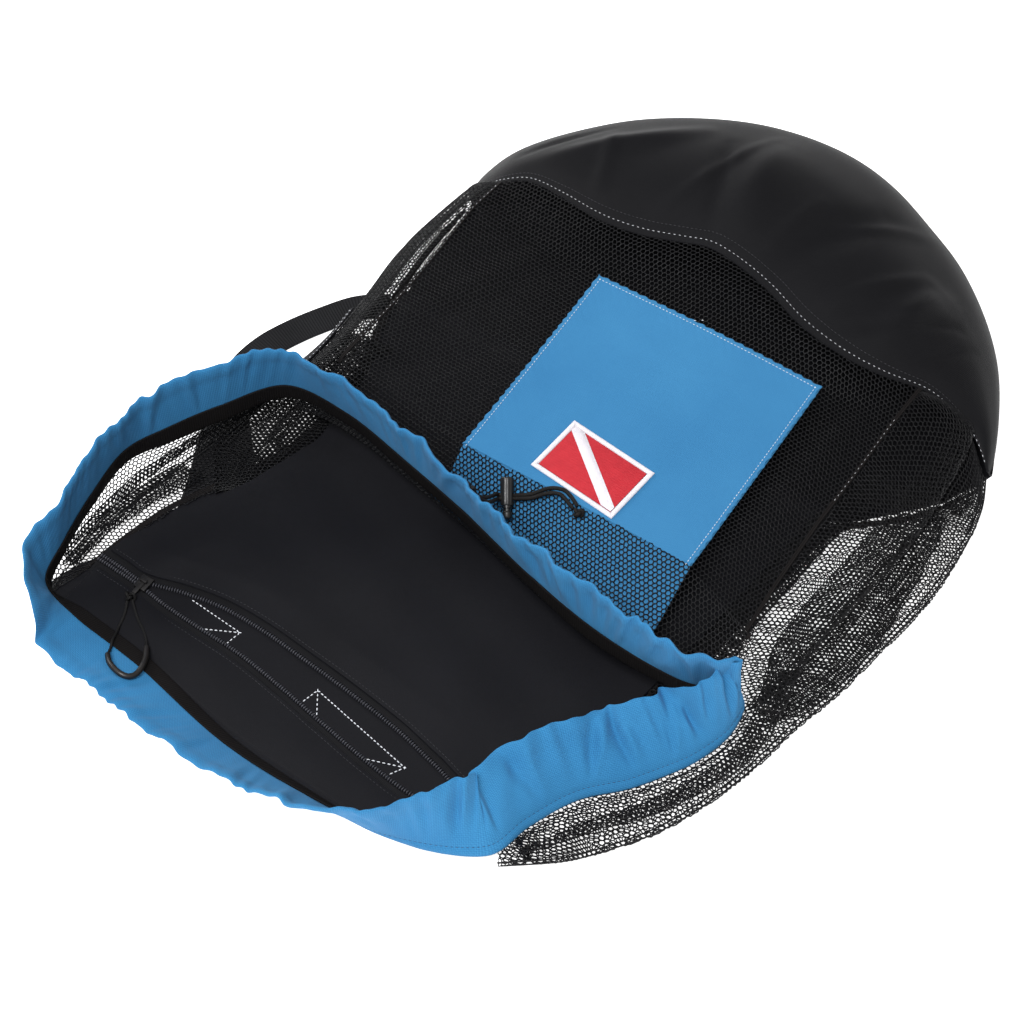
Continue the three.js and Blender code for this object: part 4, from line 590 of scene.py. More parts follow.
def strand_material(name, dark, light, roughness, specular=0.5):
    """Strands and threads, too thin for a weave: fibres and a change of shade along them."""
    material, tree, shader = start_material(name, roughness, specular=specular)
    shaded(tree, shader, dark, light, noise(tree, 260.0, 4.0, 0.7))
    bumped(tree, shader, noise(tree, 1500.0, 2.0), 0.00008)
    return material


net_strand = strand_material("net_strand", grey(0.02, 0.005), grey(0.10, 0.01), 0.42, 0.2)
white_thread = strand_material("white_thread", rgb(0.72, 0.74, 0.78), rgb(0.97, 0.97, 0.98), 0.6)
blue_thread = strand_material("blue_thread", rgb(0.04, 0.16, 0.28), rgb(0.16, 0.38, 0.56), 0.6)
black_thread = strand_material("black_thread", grey(0.05, 0.005), grey(0.26, 0.02), 0.5, 0.3)


def embroidered_material(name, dark, light, pitch, slant):
    """Satin stitch of a patch: fine slanting threads side by side."""
    material, tree, shader = start_material(name, 0.6, 0.05, specular=0.2)
    u, v = cloth_axes(tree)
    line = calc(tree, "MULTIPLY_ADD", v, slant, u)
    threads = ridge(tree, line, pitch, 0.6)
    factor = calc(tree, "MULTIPLY_ADD", noise(tree, 120.0), 0.5, calc(tree, "MULTIPLY", threads, 0.5))
    shaded(tree, shader, dark, light, factor)
    bumped(tree, shader, threads, 0.00022)
    return material


patch_red = embroidered_material("patch_red", rgb(0.60, 0.10, 0.15), rgb(0.83, 0.20, 0.24), 0.0009, 0.35)
patch_white = embroidered_material("patch_white", rgb(0.80, 0.78, 0.82), rgb(0.98, 0.97, 0.99), 0.0008, -0.3)


def hard_material(name, dark, light, roughness, metallic, grain, depth):
    """Moulded plastic or blackened metal, with a fine grain and handling marks."""
    material, tree, shader = start_material(name, roughness, 0.0, metallic)
    shaded(tree, shader, dark, light, noise(tree, 90.0, 5.0, 0.7))
    rough = calc(tree, "MULTIPLY_ADD", noise(tree, 400.0, 2.0), 0.25, roughness - 0.12)
    tree.links.new(rough, shader.inputs["Roughness"])
    bumped(tree, shader, noise(tree, grain, 2.0), depth)
    return material


black_plastic = hard_material("black_plastic", grey(0.04, 0.005), grey(0.13), 0.38, 0.0, 2600.0, 0.00004)
dark_metal = hard_material("dark_metal", grey(0.07), rgb(0.20, 0.19, 0.19), 0.45, 0.5, 1200.0, 0.00003)
rubber = hard_material("rubber", rgb(0.035, 0.03, 0.028), rgb(0.14, 0.12, 0.11), 0.42, 0.0, 1800.0, 0.00005)


def braided_material(name, dark, light, pitch, depth):
    """Braided cord: two sets of strands winding round it both ways."""
    material, tree, shader = start_material(name, 0.6, 0.0, specular=0.2)
    u, v = cloth_axes(tree)
    one = ridge(tree, calc(tree, "ADD", u, v), pitch)
    other = ridge(tree, calc(tree, "SUBTRACT", u, v), pitch)
    height = calc(tree, "MAXIMUM", one, other)
    factor = calc(tree, "MULTIPLY_ADD", noise(tree, 200.0), 0.4, calc(tree, "MULTIPLY", height, 0.6))
    shaded(tree, shader, dark, light, factor)
    bumped(tree, shader, height, depth)
    return material


drawcord_braid = braided_material(
    "drawcord_braid", rgb(0.03, 0.028, 0.028), rgb(0.12, 0.11, 0.105), 0.0016, 0.0003,
)
loop_braid = braided_material("loop_braid", grey(0.03), rgb(0.11, 0.105, 0.105), 0.0011, 0.0002)
print(len(bpy.data.materials), "materials")

# %% [markdown]
# ## Stitches and net with Geometry Nodes
# Thousands of alike stitches and net cells are not modelled one by one. A stitch tree walks along a
# line and sets one short thread at each step. The net tree lays a honeycomb flat in the cloth's own
# coordinates, looks up where each of its knots lies on the sewn surface, and turns the honeycomb's
# edges into strands. That way the net's holes are real, and they follow every fold.

# %% Stitch tree
def new_tree(name, sockets):
    """Empty geometry tree with named inputs."""
    tree = bpy.data.node_groups.new(name, "GeometryNodeTree")
    tree.interface.new_socket("Geometry", in_out="OUTPUT", socket_type="NodeSocketGeometry")
    tree.interface.new_socket("Geometry", in_out="INPUT", socket_type="NodeSocketGeometry")
    for title, kind in sockets:
        tree.interface.new_socket(title, in_out="INPUT", socket_type="NodeSocket" + kind)
    source, sink = add(tree, "NodeGroupInput"), add(tree, "NodeGroupOutput")
    return tree, source.outputs, sink


def finish_tree(tree, sink, geometry, material):
    """Ends a tree in real geometry with its material, shaded smooth."""
    soft = add(tree, "GeometryNodeSetShadeSmooth", {"Geometry": geometry})
    real = add(tree, "GeometryNodeRealizeInstances", {"Geometry": soft.outputs[0]})
    done = add(tree, "GeometryNodeSetMaterial", {"Geometry": real.outputs[0], "Material": material})
    tree.links.new(done.outputs[0], sink.inputs[0])


ROW_SIZES = ("Pitch", "Length", "Width", "Height")


def row_tree(name, segments, rings):
    """Tree that sets one small ellipsoid at each step along a line: a stitch, or a zip's tooth."""
    tree, source, sink = new_tree(name, [
        *((title, "Float") for title in ROW_SIZES), ("Material", "Material"),
    ])
    line = add(tree, "GeometryNodeMeshToCurve", {"Mesh": source["Geometry"]})
    steps = add(tree, "GeometryNodeResampleCurve", {
        "Curve": line.outputs[0], "Length": source["Pitch"],
    }, mode="LENGTH")
    ball = add(tree, "GeometryNodeMeshUVSphere", {"Segments": segments, "Rings": rings, "Radius": 0.5})
    size = add(tree, "ShaderNodeCombineXYZ", {0: source["Length"], 1: source["Width"], 2: source["Height"]})
    tangent = add(tree, "GeometryNodeInputTangent")
    turned = add(tree, "FunctionNodeAlignRotationToVector", {"Vector": tangent.outputs[0]}, axis="X")
    placed = add(tree, "GeometryNodeInstanceOnPoints", {
        "Points": steps.outputs[0], "Instance": ball.outputs[0],
        "Rotation": turned.outputs[0], "Scale": size.outputs[0],
    })
    finish_tree(tree, sink, placed.outputs[0], source["Material"])
    return tree


def grow(name, base, tree, values):
    """Runs a tree on a base object and keeps the result as a plain mesh."""
    modifier = base.modifiers.new("grow", "NODES")
    modifier.node_group = tree
    for item in tree.interface.items_tree:
        if item.in_out == "INPUT" and item.name in values:
            modifier[item.identifier] = values[item.name]
    depsgraph = bpy.context.evaluated_depsgraph_get()
    mesh = bpy.data.meshes.new_from_object(base.evaluated_get(depsgraph))
    mesh.name = name
    spare = base.data
    bpy.data.objects.remove(base)
    bpy.data.meshes.remove(spare)
    piece = link(name, mesh)
    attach(piece, "bag")
    print(name, len(mesh.polygons), "faces")
    return piece


def rowed(name, lines, tree, pitch, size, material):
    """Rows of a tree's ellipsoids along lines of points, all in millimetres."""
    points, edges = [], []
    for one in lines:
        start = len(points)
        points += metres(one).tolist()
        edges += [(start + k, start + k + 1) for k in range(len(one) - 1)]
    mesh = bpy.data.meshes.new(name)
    mesh.from_pydata(points, edges, [])
    values = {title: value / 1000 for title, value in zip(ROW_SIZES, (pitch, *size))}
    return grow(name, link(name + "_line", mesh), tree, {**values, "Material": material})


stitch_tree = row_tree("stitch_row", 6, 4)


def stitches(name, lines, material, pitch=3.4, length=2.5, thickness=0.55):
    return rowed(name, lines, stitch_tree, pitch, (length, thickness, thickness), material)


# %% Net tree
net_tree, source, sink = new_tree("knotted_net", [
    ("Cell", "Float"), ("Strand", "Float"), ("Width", "Float"), ("Height", "Float"),
    ("Corner", "Vector"), ("Wander", "Float"), ("Seed", "Int"), ("Material", "Material"),
])


def weave(kind, inputs=(), **settings):
    """Adds a node to the net's tree and hands on its first result."""
    return add(net_tree, kind, inputs, **settings).outputs[0]


def reckon(operation, a, b=0.0):
    return calc(net_tree, operation, a, b)


row_height = reckon("MULTIPLY", source["Cell"], math.sqrt(3) / 2)
across, up_rows = (
    weave("FunctionNodeFloatToInt", {0: reckon("DIVIDE", source[size], step)}, rounding_mode="CEILING")
    for size, step in (("Width", source["Cell"]), ("Height", row_height))
)
lattice = weave("GeometryNodeMeshGrid", {
    "Size X": reckon("MULTIPLY", across, source["Cell"]), "Size Y": reckon("MULTIPLY", up_rows, row_height),
    "Vertices X": reckon("ADD", across, 1.0), "Vertices Y": reckon("ADD", up_rows, 1.0),
})
row_index = reckon("MODULO", weave("GeometryNodeInputIndex"), reckon("ADD", up_rows, 1.0))
half_cell = reckon("MULTIPLY", source["Cell"], 0.5)
slide = weave("ShaderNodeCombineXYZ", {0: reckon("MULTIPLY", reckon("MODULO", row_index, 2.0), half_cell)})
shifted = weave("GeometryNodeSetPosition", {"Geometry": lattice, "Offset": slide})
cells = weave("GeometryNodeDualMesh", {"Mesh": weave("GeometryNodeTriangulate", {"Mesh": shifted})})
least, most = (
    weave("ShaderNodeVectorMath", {0: source["Wander"], 1: (sign, sign, 0)}, operation="MULTIPLY")
    for sign in (-1, 1)
)
jitter = weave("FunctionNodeRandomValue", {0: least, 1: most, "Seed": source["Seed"]}, data_type="FLOAT_VECTOR")
moved = weave("ShaderNodeVectorMath", {0: source["Corner"], 1: jitter}, operation="ADD")
flat_net = weave("GeometryNodeSetPosition", {"Geometry": cells, "Offset": moved})
flat_place = weave("GeometryNodeInputPosition")
cloth_map = weave("GeometryNodeInputNamedAttribute", {"Name": "cloth"}, data_type="FLOAT_VECTOR")
lookup = add(net_tree, "GeometryNodeSampleUVSurface", {
    0: source["Geometry"], 1: flat_place, 2: cloth_map, 3: flat_place,
}, data_type="FLOAT_VECTOR")
missing = weave("FunctionNodeBooleanMath", {0: lookup.outputs[1]}, operation="NOT")
inside = weave("GeometryNodeDeleteGeometry", {"Geometry": flat_net, "Selection": missing})
laid = weave("GeometryNodeSetPosition", {"Geometry": inside, "Position": lookup.outputs[0]})
profile = weave("GeometryNodeCurvePrimitiveCircle", {
    "Resolution": 3, "Radius": reckon("MULTIPLY", source["Strand"], 0.5),
})
strings = weave("GeometryNodeCurveToMesh", {
    "Curve": weave("GeometryNodeMeshToCurve", {"Mesh": laid}), "Profile Curve": profile,
})
finish_tree(net_tree, sink, strings, source["Material"])
NET_CELL, NET_STRAND, NET_WANDER, SEAM_REACH = 3.75, 1.08, 0.09, 2.8


def padded(grid, reach):
    """Grid carried on a little past all four of its edges, into the seams."""
    for axis in (0, 1):
        grid = np.swapaxes(grid, 0, axis)
        first, last = unit(grid[0] - grid[1]), unit(grid[-1] - grid[-2])
        grid = np.concatenate([grid[:1] + first * reach, grid, grid[-1:] + last * reach])
        grid = np.swapaxes(grid, 0, axis)
    return grid


def net(name, grid, seed=1, strand_width=NET_STRAND, lift=0.0):
    """Net of real strands over a grid of points in millimetres."""
    grid = padded(grid + grid_normals(grid) * lift, SEAM_REACH)
    quads = grid_quads(grid)[1]
    flat = cloth_uv(grid).reshape(-1, 2)
    base = make_piece(name + "_base", grid.reshape(-1, 3), quads, flat[quads.reshape(-1)], net_strand)
    low, high = flat.min(axis=0), flat.max(axis=0)
    middle, size = (low + high) / 2, high - low + 0.004
    return grow(name, base, net_tree, {
        "Cell": NET_CELL * MM, "Strand": strand_width * MM, "Wander": NET_CELL * NET_WANDER * MM, "Seed": seed,
        "Width": float(size[0]), "Height": float(size[1]),
        "Corner": (float(middle[0]), float(middle[1]), 0.0), "Material": net_strand,
    })


# %% [markdown]
# ## The blue cuff
# A straight band of canvas is sewn on all round and drawn together by the cord in its casing. The
# cloth keeps its length, so it ripples: hardly at the seam, deepest at the rim. A closed section
# is swept round the mouth ring, and each of its points moves in and out with the gathers.

# %% Cuff
turns = np.arange(len(places)) / len(places)


def gather_strength(turn):
    """How much the cloth is gathered round the mouth: least at the left, most at the right."""
    marks = [0.45, 0.3, 0.25, 0.5, 0.8, 1.1, 1.35, 1.3, 1.2, 0.9, 0.6, 0.5]
    return smooth(marks, turn * len(marks), closed=True)


# place round the mouth, half width in millimetres, depth, how far it slants from seam to rim
DEEP_FOLDS = [
    (25.62, 13, -3.0, -14), (13.1, 16, -4.5, 8), (13.9, 12, -5.5, -10), (14.7, 15, -6.0, 12),
    (15.35, 11, -4.5, -8),
    (15.95, 15, -6.0, 10), (16.7, 12, -5.0, -9), (17.6, 14, -4.5, 10), (18.6, 12, -3.5, -8),
    (19.5, 14, -4.0, 9),
    (12.2, 12, -3.5, -8), (11.2, 13, -2.5, 6), (3.6, 12, -2.5, 6), (4.6, 10, -2.0, -5), (21.4, 16, -2.0, 8),
]


def deep_folds(turn, loose):
    """V-shaped folds that open towards the rim, where much cloth is drawn together."""
    total = np.zeros(np.shape(turn))
    for place, half, depth, slant in DEEP_FOLDS:
        middle = np.interp(place, places, turns)
        away = (np.asarray(turn) - middle) * RING_LENGTH - slant * loose
        q = away / (0.72 * half * (0.35 + 0.65 * loose))
        total = total + 1.5 * depth * loose**0.8 * (1 - 0.9 * q**2 + 0.5 * q) * np.exp(-q**2)
    return total


def cuff_points(turn, t, share, depth):
    """Points in the cuff's cloth at a share of its height and a depth out of its middle."""
    foot, rise, face, height = ring_frame(t)
    up_band = share * height
    loose = loose_share(up_band, height)
    phase = turn * 2 * math.pi
    strength = gather_strength(turn)
    ripple = gather(turn, loose) * np.minimum(0.3 + strength, 1)
    fold = np.sin(phase * 23 + 2.2 * np.sin(phase * 5 + 1)) * np.sin(math.pi * np.clip(loose * 0.8 + 0.1, 0, 1))
    slanted = phase + 0.07 * (1 - loose) * np.sin(phase * 7)
    pucker = np.sin(slanted * 83 + 3 * np.sin(phase * 11))
    pucker = pucker + 0.35 * np.sin(slanted * 127 + 2.5 * np.sin(phase * 17 + 1))
    pucker = 0.85 * pucker * loose**0.7
    tuck = 0.8 * np.sin(slanted * 71 + 1.5 * np.sin(phase * 9)) * np.exp(-((loose - 0.55) / 0.3) ** 2)
    ripple = ripple + strength * (0.9 * fold + tuck) + (0.5 + 0.5 * strength) * pucker + deep_folds(turn, loose)
    edge = RIM_WAVE * loose**2 * np.sin(phase * RIM_WAVES + 1)
    edge = edge + 0.55 * loose**4 * np.sin(phase * 83 + 3 * np.sin(phase * 11) + 1)
    points = foot + rise * (up_band + edge)[..., None]
    return points + face * (depth + ripple)[..., None]


CUFF_SECTION = [(-0.008, 0.0), (0.0, 0.8), (0.03, 1.15), (0.06, 1.35), (0.09, 1.15), (0.115, 0.7), (0.14, 1.1)]
CUFF_SECTION += [(h, 1.0) for h in np.linspace(0.2, 0.66, 11)]
CUFF_SECTION += [(0.69, 1.02), (0.73, 1.1), (0.77, 1.35), (0.81, 1.65), (0.85, 1.85), (0.89, 1.9), (0.93, 1.75)]
CUFF_SECTION += [(0.97, 1.4), (0.995, 0.7), (1.003, 0.0)]
inner_half = [(h, -d) for h, d in CUFF_SECTION[1:-1]][::-1]
section = np.array(CUFF_SECTION + inner_half)
turn_grid, height_grid = np.meshgrid(turns, section[:, 0], indexing="ij")
place_grid = np.meshgrid(places, section[:, 0], indexing="ij")[0]
depth_grid = np.broadcast_to(section[:, 1] * CUFF_WALL / 2, height_grid.shape)
cuff = swept("cuff_cloth", cuff_points(turn_grid, place_grid, height_grid, depth_grid), blue_canvas, ring=True)
dress("cuff")
print("cuff", len(cuff.data.polygons), "faces")

# %% [markdown]
# A seam shows as a row of stitches that presses the cloth together. One row runs round the foot of
# the cuff, in a groove beside the rolled hem.

# %% Cuff stitches
def cuff_line(share, depth):
    around = np.append(places, places[0] + len(RING))
    turn = np.append(turns, 1.0)
    return cuff_points(turn, around, np.full(len(turn), share), np.full(len(turn), depth))


stitches("cuff_stitches", [cuff_line(0.115, 0.75)], blue_thread, 3.6, 2.1, 0.7)

# %% Binding inside the cuff
def binding_section():
    inside, outside = CUFF_WALL / 2 + 0.4, CUFF_WALL / 2 + 0.4 + BINDING_WALL
    start, end = BINDING_START, BINDING_START + BINDING_HEIGHT
    lows = [(start, -inside), (start - 0.4, -(inside + outside) / 2), (start, -outside)]
    ups = [
        (h, -outside - 0.15 * math.sin((h - start) / BINDING_HEIGHT * math.pi))
        for h in np.linspace(start + 1, end - 1, 6)
    ]
    return np.array(lows + ups + [(end, -outside), (end + 0.4, -(inside + outside) / 2), (end, -inside)])


band = binding_section()
foot, rise, face, height = ring_frame(places)
hang = (3.4 + 4.6 * step_between(24, 42, foot[:, 2]))[:, None] * (1 - np.clip((band[:, 0] - 2) / 9.4, 0, 1))
along_band = band[None, :, 0] - hang
binding_grid = foot[:, None] + rise[:, None] * along_band[..., None] + face[:, None] * band[None, :, 1, None]
binding = swept("cuff_binding_tape", binding_grid, binding_tape, ring=True)
dress("cuff_binding")
print("binding", len(binding.data.polygons), "faces")

# %% [markdown]
# ## The front of the bag
# The net front is sewn to the cuff, drops into a valley behind it and rises over the gear space to
# the nylon base. One surface carries the net, the pocket and the patch. It is written as a function
# of two cloth coordinates, so every layer can be laid on it by moving along its normal.

# %% Front surface
NET_WALL, NYLON_WALL, POCKET_CLOTH = 1.5, 1.5, 1.2
POCKET_WIDTH, POCKET_HEIGHT, POCKET_LEFT, POCKET_NEAR = 197.0, 185.0, -46.0, 4.0
POCKET_RIGHT, POCKET_FAR = POCKET_LEFT + POCKET_WIDTH, POCKET_NEAR + POCKET_HEIGHT
VALLEY, SEAM_GAP = 18.0, 0.8
NEAR_LEFT, NEAR_RIGHT = 22.0, -14.0
CAP_SEAM = np.array([
    (-0.362, 0.319, 0.14), (-0.334, 0.31, 0.34), (-0.298, 0.308, 0.55), (-0.254, 0.315, 0.66),
    (-0.198, 0.309, 0.72), (-0.123, 0.3, 0.76), (-0.061, 0.304, 0.78), (-0.007, 0.316, 0.8),
    (0.034, 0.324, 0.82), (0.088, 0.319, 0.82), (0.141, 0.309, 0.8), (0.202, 0.293, 0.76),
    (0.27, 0.288, 0.7), (0.327, 0.296, 0.62), (0.384, 0.315, 0.5), (0.43, 0.321, 0.35),
    (0.466, 0.319, 0.2), (0.5, 0.301, 0.09),
]) * SCALE
# top x, y, z, fold x, y, panel x, y, tuck and its place, from the mouth to the base
RIGHT_SIDE = np.array([
    (0.276, -0.326, 0.08, 0.289, -0.338, 0.268, -0.312, 4, 0.5),
    (0.289, -0.291, 0.08, 0.346, -0.304, 0.275, -0.285, 6, 0.5),
    (0.318, -0.245, 0.09, 0.38, -0.275, 0.285, -0.245, 8, 0.5),
    (0.368, -0.203, 0.1, 0.425, -0.225, 0.297, -0.203, 10, 0.5),
    (0.414, -0.149, 0.13, 0.458, -0.163, 0.308, -0.149, 10, 0.5),
    (0.429, -0.107, 0.18, 0.476, -0.11, 0.315, -0.107, 12, 0.45),
    (0.413, -0.064, 0.24, 0.487, -0.062, 0.322, -0.064, 16, 0.42),
    (0.378, -0.012, 0.33, 0.505, -0.008, 0.33, -0.012, 20, 0.4),
    (0.373, 0.05, 0.38, 0.518, 0.055, 0.338, 0.05, 22, 0.42),
    (0.372, 0.108, 0.42, 0.53, 0.112, 0.347, 0.108, 22, 0.45),
    (0.375, 0.158, 0.46, 0.534, 0.165, 0.362, 0.156, 22, 0.47),
    (0.376, 0.21, 0.5, 0.531, 0.218, 0.426, 0.2, 20, 0.48),
    (0.378, 0.258, 0.51, 0.521, 0.262, 0.463, 0.232, 14, 0.5),
    (0.38, 0.308, 0.52, 0.502, 0.297, 0.5, 0.28, 8, 0.5),
])
LEFT_SIDE = np.array([
    (-0.421, -0.33, 0.13, -0.427, -0.327, -0.414, -0.312, 4, 0.5),
    (-0.437, -0.3, 0.22, -0.432, -0.298, -0.407, -0.288, 5, 0.6),
    (-0.446, -0.247, 0.32, -0.432, -0.247, -0.396, -0.247, 7, 0.7),
    (-0.446, -0.193, 0.42, -0.424, -0.193, -0.377, -0.193, 9, 0.75),
    (-0.415, -0.149, 0.46, -0.413, -0.145, -0.35, -0.149, 10, 0.75),
    (-0.378, -0.1, 0.48, -0.4, -0.1, -0.318, -0.1, 12, 0.7),
    (-0.32, -0.036, 0.48, -0.385, -0.03, -0.292, -0.04, 14, 0.55),
    (-0.307, 0.02, 0.46, -0.375, 0.03, -0.297, 0.02, 12, 0.5),
    (-0.304, 0.068, 0.46, -0.371, 0.08, -0.306, 0.068, 12, 0.5),
    (-0.305, 0.14, 0.48, -0.382, 0.15, -0.334, 0.14, 12, 0.5),
    (-0.308, 0.22, 0.52, -0.39, 0.228, -0.35, 0.215, 10, 0.5),
    (-0.298, 0.302, 0.55, -0.37, 0.315, -0.356, 0.3, 6, 0.5),
])
PANEL_COLUMNS = np.array([-0.305, -0.1, 0.09, 0.27, 0.376]) * BAG_WIDTH
PANEL_FAR = [0, 0.42, 0.8, 1]
PANEL_HEIGHTS = [
    [0.46, 0.44, 0.45, 0.43, 0.33], [0.46, 0.49, 0.51, 0.49, 0.42],
    [0.52, 0.57, 0.6, 0.57, 0.49], [0.55, 0.75, 0.82, 0.7, 0.52],
]
DROP = np.array([
    (0, 0), (0.01, 0.3), (0.05, 0.66), (0.16, 0.92), (0.33, 1), (0.54, 0.86), (0.77, 0.42), (1, 0),
])
# from x, y, to x, y, half width in shares of the width, height in shares of the depth
PANEL_FOLDS = [
    (-0.29, 0.09, -0.16, 0.27, 0.02, 0.05), (-0.25, 0.03, -0.13, 0.13, 0.02, -0.04),
    (0.3, 0.02, 0.33, 0.24, 0.018, 0.05), (-0.02, 0.285, 0.2, 0.265, 0.016, -0.035),
]


def fold_height(folds, x, y):
    """Height that soft ridges and dents add at a place."""
    total = np.zeros(np.shape(x))
    for x0, y0, x1, y1, half, high in folds:
        start = np.array([x0 * BAG_WIDTH, y0 * BAG_LENGTH])
        run = np.array([x1 * BAG_WIDTH, y1 * BAG_LENGTH]) - start
        dx, dy = x - start[0], y - start[1]
        share = np.clip((dx * run[0] + dy * run[1]) / (run @ run), 0, 1)
        away = np.hypot(dx - share * run[0], dy - share * run[1]) / (half * BAG_WIDTH)
        total = total + high * BAG_DEPTH * np.sin(math.pi * lerp(0.12, 0.88, share)) * np.exp(-away**2)
    return total


front_places = np.linspace(6.08, 12.78, 600)
front_feet = ring_point(front_places)
seam_line = smooth(CAP_SEAM, np.linspace(0, len(CAP_SEAM) - 1, 800))


def cap_seam_at(x):
    return np.interp(x, seam_line[:, 0], seam_line[:, 1]), np.interp(x, seam_line[:, 0], seam_line[:, 2])


def side_x(table, y):
    return np.interp(y, table[:, 1] * BAG_LENGTH, table[:, 0] * BAG_WIDTH)


def panel_height(x, far):
    place = np.interp(x, PANEL_COLUMNS, np.arange(5))
    rows = np.stack([smooth(row, place) for row in PANEL_HEIGHTS])
    step = np.interp(far, PANEL_FAR, np.arange(4))
    i = np.clip(np.floor(step).astype(int), 0, 2)
    f = step - i
    pick = [np.take_along_axis(rows, np.clip(i + k, 0, 3)[None], 0)[0] for k in (-1, 0, 1, 2)]
    a, b, c, d = pick
    bend, twist = 2 * a - 5 * b + 4 * c - d, 3 * b - a - 3 * c + d
    return 0.5 * (2 * b + (c - a) * f + bend * f * f + twist * f**3) * BAG_DEPTH


def column_x(u, left, right):
    """Place across the panel: four cells to the pocket, seven on it and three beyond."""
    inner = lerp(POCKET_LEFT, POCKET_RIGHT, (u - 4) / 7)
    beyond_pocket = lerp(POCKET_RIGHT, right, (u - 11) / 3)
    return np.where(u <= 4, lerp(left, POCKET_LEFT, u / 4), np.where(u <= 11, inner, beyond_pocket))


def near_y(x):
    return np.interp(x, [PANEL_COLUMNS[0], POCKET_LEFT, POCKET_RIGHT, PANEL_COLUMNS[4]],
                     [NEAR_LEFT, POCKET_NEAR, POCKET_NEAR, NEAR_RIGHT])


def front_surface(u, v):
    """Point of the front at u across (0 to 14) and v from the cuff to the base (0 to 17)."""
    x0 = column_x(u, front_feet[0, 0] + 0.4, front_feet[-1, 0] - 0.4)
    seam_y = np.interp(x0, front_feet[:, 0], front_feet[:, 1])
    seam_z = np.interp(x0, front_feet[:, 0], front_feet[:, 2])
    x1 = column_x(u, side_x(LEFT_SIDE, NEAR_LEFT) + SEAM_GAP, side_x(RIGHT_SIDE, NEAR_RIGHT) - SEAM_GAP)
    drop = smooth(DROP, np.clip(v, 0, 7))
    out, down = np.clip(drop[..., 0], 0, 1), drop[..., 1]
    low = np.minimum(VALLEY, seam_z - 8)
    from_z = lerp(seam_z - SEAM_GAP, panel_height(x1, 0 * x1), step_between(0.25, 0.5, out))
    valley = np.stack([lerp(x0, x1, out), lerp(seam_y, near_y(x1), out), lerp(from_z, low, down)], axis=-1)
    share = np.clip((v - 7) / 10, 0, 1)
    guess = lerp(POCKET_NEAR, POCKET_FAR + 30, share)
    x = column_x(u, side_x(LEFT_SIDE, np.maximum(guess, NEAR_LEFT)) + SEAM_GAP,
                 side_x(RIGHT_SIDE, np.maximum(guess, NEAR_RIGHT)) - SEAM_GAP)
    cap_y, cap_z = cap_seam_at(x)
    face_step = np.clip((v - 7) / 7, 0, 1)
    far_step = np.clip((v - 14) / 3, 0, 1)
    y = np.where(v <= 14, lerp(near_y(x), POCKET_FAR, face_step), lerp(POCKET_FAR, cap_y - 0.4, far_step))
    far = np.where(v <= 14, 0.8 * face_step, lerp(0.8, 1, far_step))
    soft = fold_height(PANEL_FOLDS, x, y) * np.sin(math.pi * far)
    z = lerp(panel_height(x, far), cap_z, far_step**2) + soft
    field = np.stack([x, y, z], axis=-1)
    return np.where((v < 7)[..., None], valley, field)


def front_grid(u0, u1, v0, v1, across, along):
    u, v = np.meshgrid(np.linspace(u0, u1, across), np.linspace(v0, v1, along), indexing="ij")
    return front_surface(u, v)


print("front surface middle", front_surface(np.array([7.0]), np.array([10.0])).round(1))

# %% [markdown]
# The front net is one flat piece of honeycomb, looked up on the front surface by the net tree.

# %% Front net
front_net = net("front_net", front_grid(0, 14, 0, 17, 85, 110), seed=3)
dress("front_panel")

# %% [markdown]
# ## The pocket
# The pocket's blue back is sewn on the net, its blue face lies over that, and a net strip from the
# face down to the cuff closes it. Each layer is the front surface moved outwards, with the cloth's
# own slight puckers along its stitched edges.

# %% Pocket layers
BACK_LIFT = NET_WALL / 2 + 0.4 + POCKET_CLOTH / 2
FACE_LIFT = BACK_LIFT + POCKET_CLOTH + 0.4
STRIP_LIFT = BACK_LIFT + POCKET_CLOTH / 2 + 0.4 + NET_WALL / 2


def puckers(across, along, depth, pitch):
    """Small puckers that stitching draws into the edges of a patch of cloth, u and v from 0 to 1."""
    edge = np.minimum(np.minimum(across, 1 - across), 1 - along)
    near = np.exp(-edge / 0.035)
    return depth * near * np.sin((across + along) * math.pi * pitch + 2 * np.sin(along * 17))


pocket_back_grid = front_grid(4, 11, 0.15, 14, 60, 90)
pocket_back = cloth_wall("pocket_back_cloth", pocket_back_grid, POCKET_CLOTH, pocket_canvas, lift=BACK_LIFT)
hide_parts("pocket_back")
face_grid = front_grid(4, 11, 7, 14, 110, 110)
s, t = np.meshgrid(np.linspace(0, 1, 110), np.linspace(0, 1, 110), indexing="ij")
wrinkles = 0.35 * np.sin(s * 11 + 3 * t) * np.sin(t * 8 - 2 * s) * np.sin(math.pi * s) * np.sin(math.pi * t)
face_lift = (puckers(s, t, 0.35, 46) + wrinkles)[..., None] * grid_normals(face_grid)
pocket_face = cloth_wall(
    "pocket_face_cloth", face_grid + face_lift, POCKET_CLOTH, pocket_canvas, lift=FACE_LIFT,
)
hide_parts("pocket_face")
pocket_strip = net("pocket_strip_net", front_grid(4, 11, 0.1, 6.95, 60, 60), seed=5, lift=STRIP_LIFT)
dress("pocket_net")
print("pocket pieces", pocket_back.name, pocket_face.name, pocket_strip.name)

# %% Pocket topstitch
def on_front(u, v, lift):
    """Line of points over the front, lifted off its surface."""
    u, v = np.broadcast_arrays(np.asarray(u, float), np.asarray(v, float))
    base = front_surface(u, v)
    along_u = front_surface(u + 0.02, v) - front_surface(u - 0.02, v)
    along_v = front_surface(u, v + 0.02) - front_surface(u, v - 0.02)
    return base + unit(np.cross(along_u, along_v)) * lift


